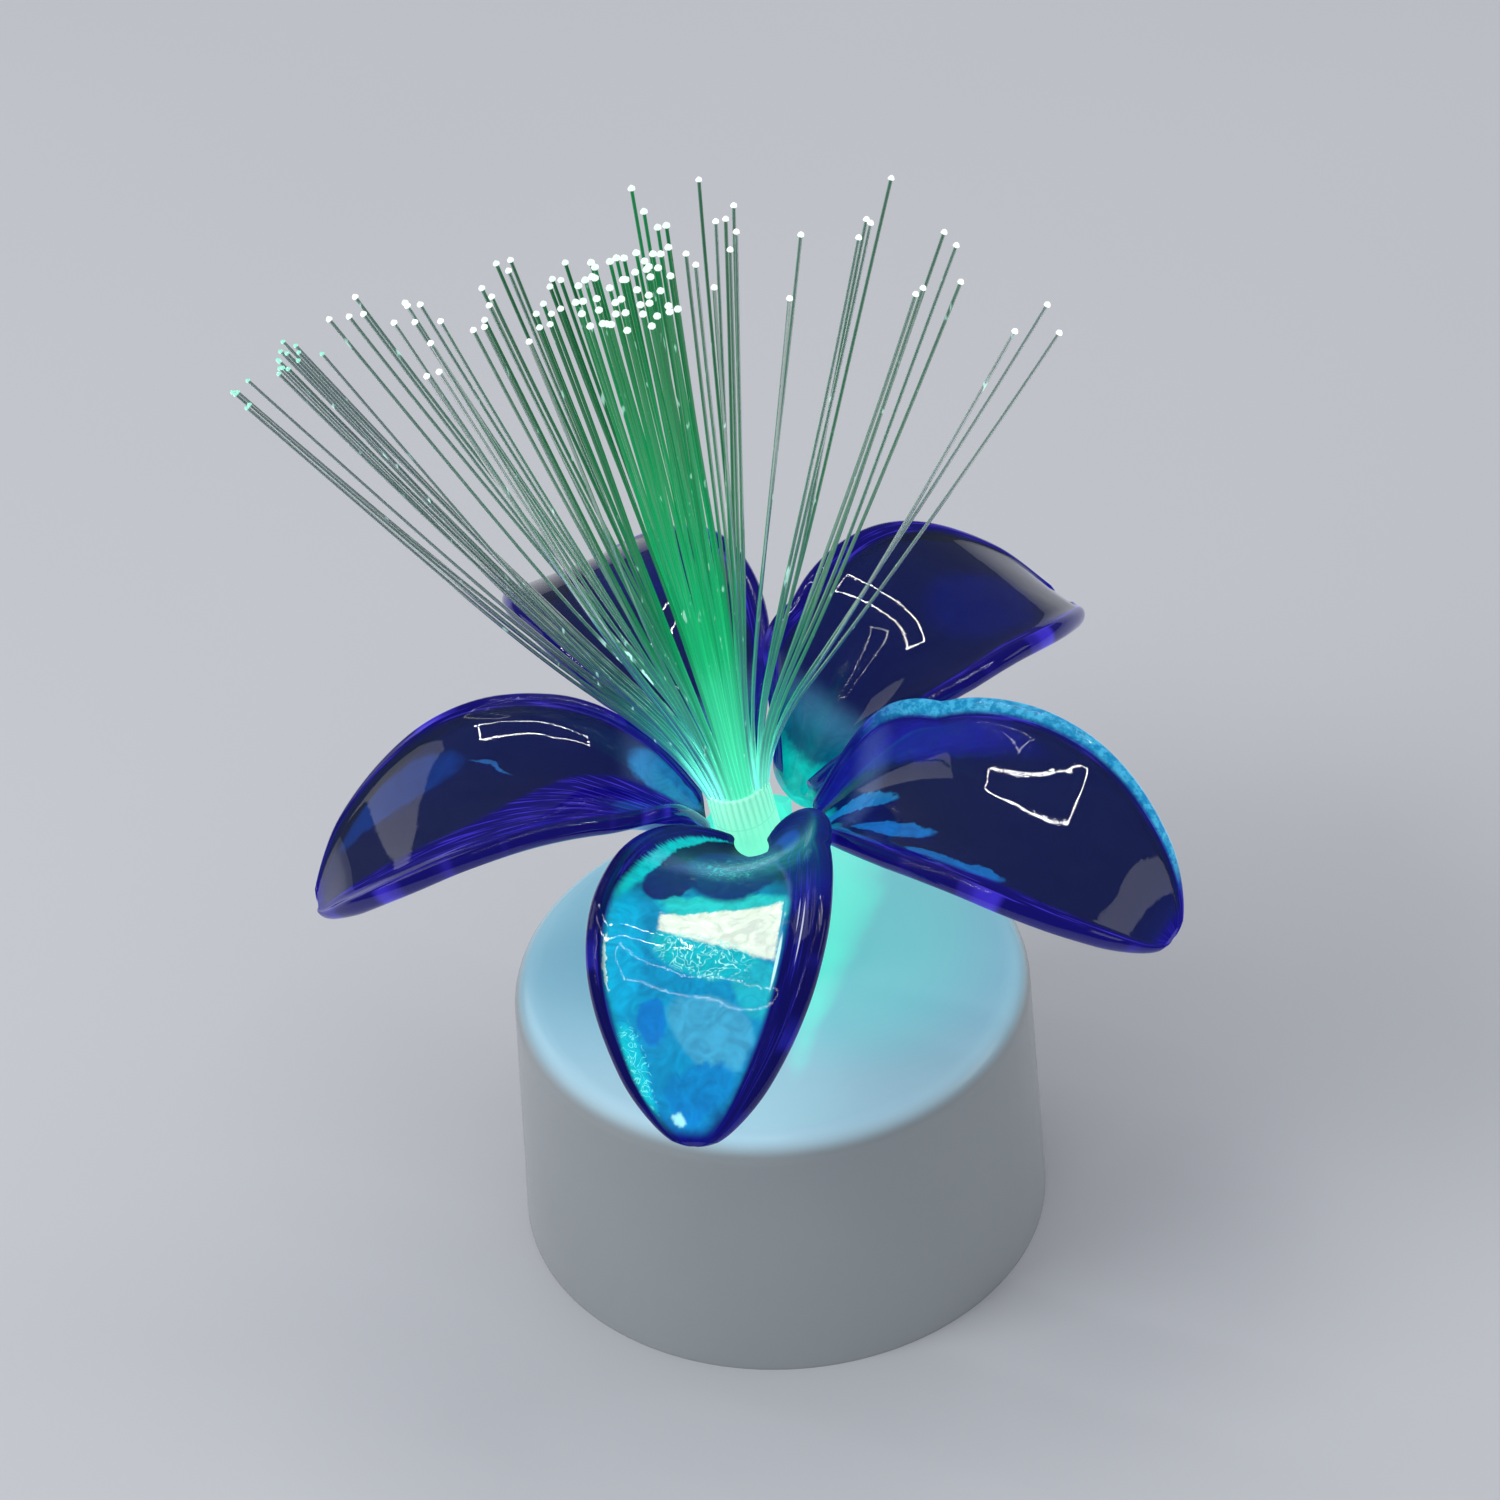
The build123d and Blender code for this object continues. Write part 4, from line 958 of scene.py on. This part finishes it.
def tube_frame(name, middle, half_length, half_width, turn, shine):
    """Four thin tubes round a long rectangle overhead, which show as loops in the petals."""
    ahead = Vector((cos(radians(turn)), sin(radians(turn)), 0))
    aside = Vector((-ahead.y, ahead.x, 0))
    center = Vector((*middle, TUBE_HEIGHT))
    spin = (0, 0, radians(turn))
    for side in (-1, 1):
        long_size, short_size = (2 * half_length, TUBE_WIDTH), (TUBE_WIDTH, 2 * half_width)
        area_light(f"{name}_long_{side}", long_size, shine, center + aside * half_width * side, spin)
        area_light(f"{name}_short_{side}", short_size, shine, center + ahead * half_length * side, spin)


def lights():
    """A pale room with a soft key light, two dim panels and two frames of thin tubes, all in metres."""
    world = bpy.data.worlds.new("pale_room")
    world.use_nodes = True
    background = world.node_tree.nodes["Background"]
    background.inputs["Color"].default_value = (*ROOM_COLOR, 1)
    rays = world.node_tree.nodes.new("ShaderNodeLightPath")
    strength = world.node_tree.nodes.new("ShaderNodeMapRange")
    strength.inputs["To Min"].default_value = ROOM_LIGHT
    strength.inputs["To Max"].default_value = ROOM_SHINE
    world.node_tree.links.new(rays.outputs["Is Glossy Ray"], strength.inputs["Value"])
    world.node_tree.links.new(strength.outputs["Result"], background.inputs["Strength"])
    bpy.context.scene.world = world
    panel("key", (0.30, 0.22), 7.8, (-0.42, -0.20, 0.52), seen=False)
    panel("wall_left", (0.16, 0.34), 0.7, (-0.38, 0.34, 0.30))
    panel("wall_right", (0.24, 0.14), 0.9, (0.52, 0.02, 0.28))
    tube_frame("frame_right", (0.05, 0.12), 0.17, 0.035, -28, 50.0)
    tube_frame("frame_left", (-0.13, 0.0), 0.12, 0.03, 28, 11.0)


def camera():
    """Camera at the measured place, turned so that its target shows where the photo has it."""
    elevation = radians(VIEW_ELEVATION)
    back = Vector((0, -cos(elevation), sin(elevation)))
    ahead = -back
    right = Vector((1, 0, 0))
    up = right.cross(ahead)
    roll = radians(VIEW_ROLL)
    rolled_right = right * cos(roll) + up * sin(roll)
    rolled_up = up * cos(roll) - right * sin(roll)
    shift_right = (FRAME_PX / 2 - TARGET_PX[0]) / FOCAL_PX
    shift_up = (TARGET_PX[1] - FRAME_PX / 2) / FOCAL_PX
    aim = (ahead + rolled_right * shift_right + rolled_up * shift_up).normalized()
    top = (rolled_up - aim * rolled_up.dot(aim)).normalized()
    side = aim.cross(top)
    data = bpy.data.cameras.new("view")
    data.sensor_width = SENSOR_MM
    data.lens = FOCAL_PX * AIM_STRETCH * SENSOR_MM / FRAME_PX
    holder = bpy.data.objects.new("view", data)
    turn = Matrix((side, top, -aim)).transposed().to_4x4()
    holder.matrix_world = Matrix.Translation(VIEW_TARGET + back * VIEW_DISTANCE) @ turn
    bpy.context.scene.collection.objects.link(holder)
    bpy.context.scene.camera = holder


# ================================================================ the object
shade(["base_housing"], milky_base())
back_glass = petal_glass("petal_glass_back", BACK_SPOTS, BACK_RIMS)
glasses = {
    "front": petal_glass("petal_glass_front", FRONT_SPOTS, FRONT_RIMS, FRONT_CREST, front=True),
    "right": petal_glass("petal_glass_right", RIGHT_SPOTS, RIGHT_RIMS, edge_glow=RIGHT_EDGE_GLOW),
    "left": petal_glass("petal_glass_left", LEFT_SPOTS, LEFT_RIMS, LEFT_CREST),
}
noise.seed_set(PETAL_RIPPLE_SEED)
for side in PETAL_AZIMUTHS:
    petal(side, glasses.get(side, back_glass))
fiber_tufts(fiber_glass())
sleeve(sleeve_glass())

white = plain("white_plastic", (0.80, 0.82, 0.84), (0.74, 0.76, 0.79), 0.42, 60)
steel = plain("bright_steel", (0.72, 0.73, 0.75), (0.60, 0.61, 0.63), 0.30, 150, Metallic=0.5)
black = plain("black_nylon", (0.035, 0.035, 0.04), (0.02, 0.02, 0.022), 0.5, 90)
board = plain("brown_board", (0.32, 0.17, 0.08), (0.24, 0.12, 0.05), 0.6, 120)
brass = plain("silvered_brass", (0.75, 0.65, 0.42), (0.6, 0.5, 0.3), 0.3, 150, Metallic=1.0)
red = plain("red_sheath", (0.62, 0.03, 0.02), (0.5, 0.02, 0.02), 0.4, 120)
lens = plain("lens_clear", (0.9, 1.0, 0.95), (0.8, 0.95, 0.9), 0.05, 90, Transmission_Weight=0.9)
# The stem and the holder are painted with the lamp's light, brighter higher up.
lit_frost = lamplit("stem_frost", (0.62, 0.80, 0.80), 29, 36, (0.01, 0.07, 0.08), (0.02, 0.20, 0.18))
turquoise = lamplit("holder_lit", (0.20, 0.62, 0.58), 35, 47, (0.01, 0.12, 0.14), (0.04, 0.50, 0.38))
shade(["bottom_cover", "battery_cap"], white)
shade(["cover_screws", "battery_cell_1", "battery_cell_2", "battery_cell_3", "switch_shell"], steel)
shade(["positive_contact", "negative_contact", "cap_contact", "battery_spring", "switch_wiper"], steel)
shade(["led_anode_lead", "led_cathode_lead"], steel)
shade(["switch_slider", "joint_sleeves", "black_wire_led"], black)
shade(["switch_board"], board)
shade(["switch_terminals"], brass)
shade(["red_wire_battery", "red_wire_led"], red)
shade(["led_lens"], lens)
shade(["stem_tube"], lit_frost)
shade(["petal_holder"], turquoise)

floor()
lights()
camera()
scene = bpy.context.scene
scene.view_settings.view_transform = "Standard"
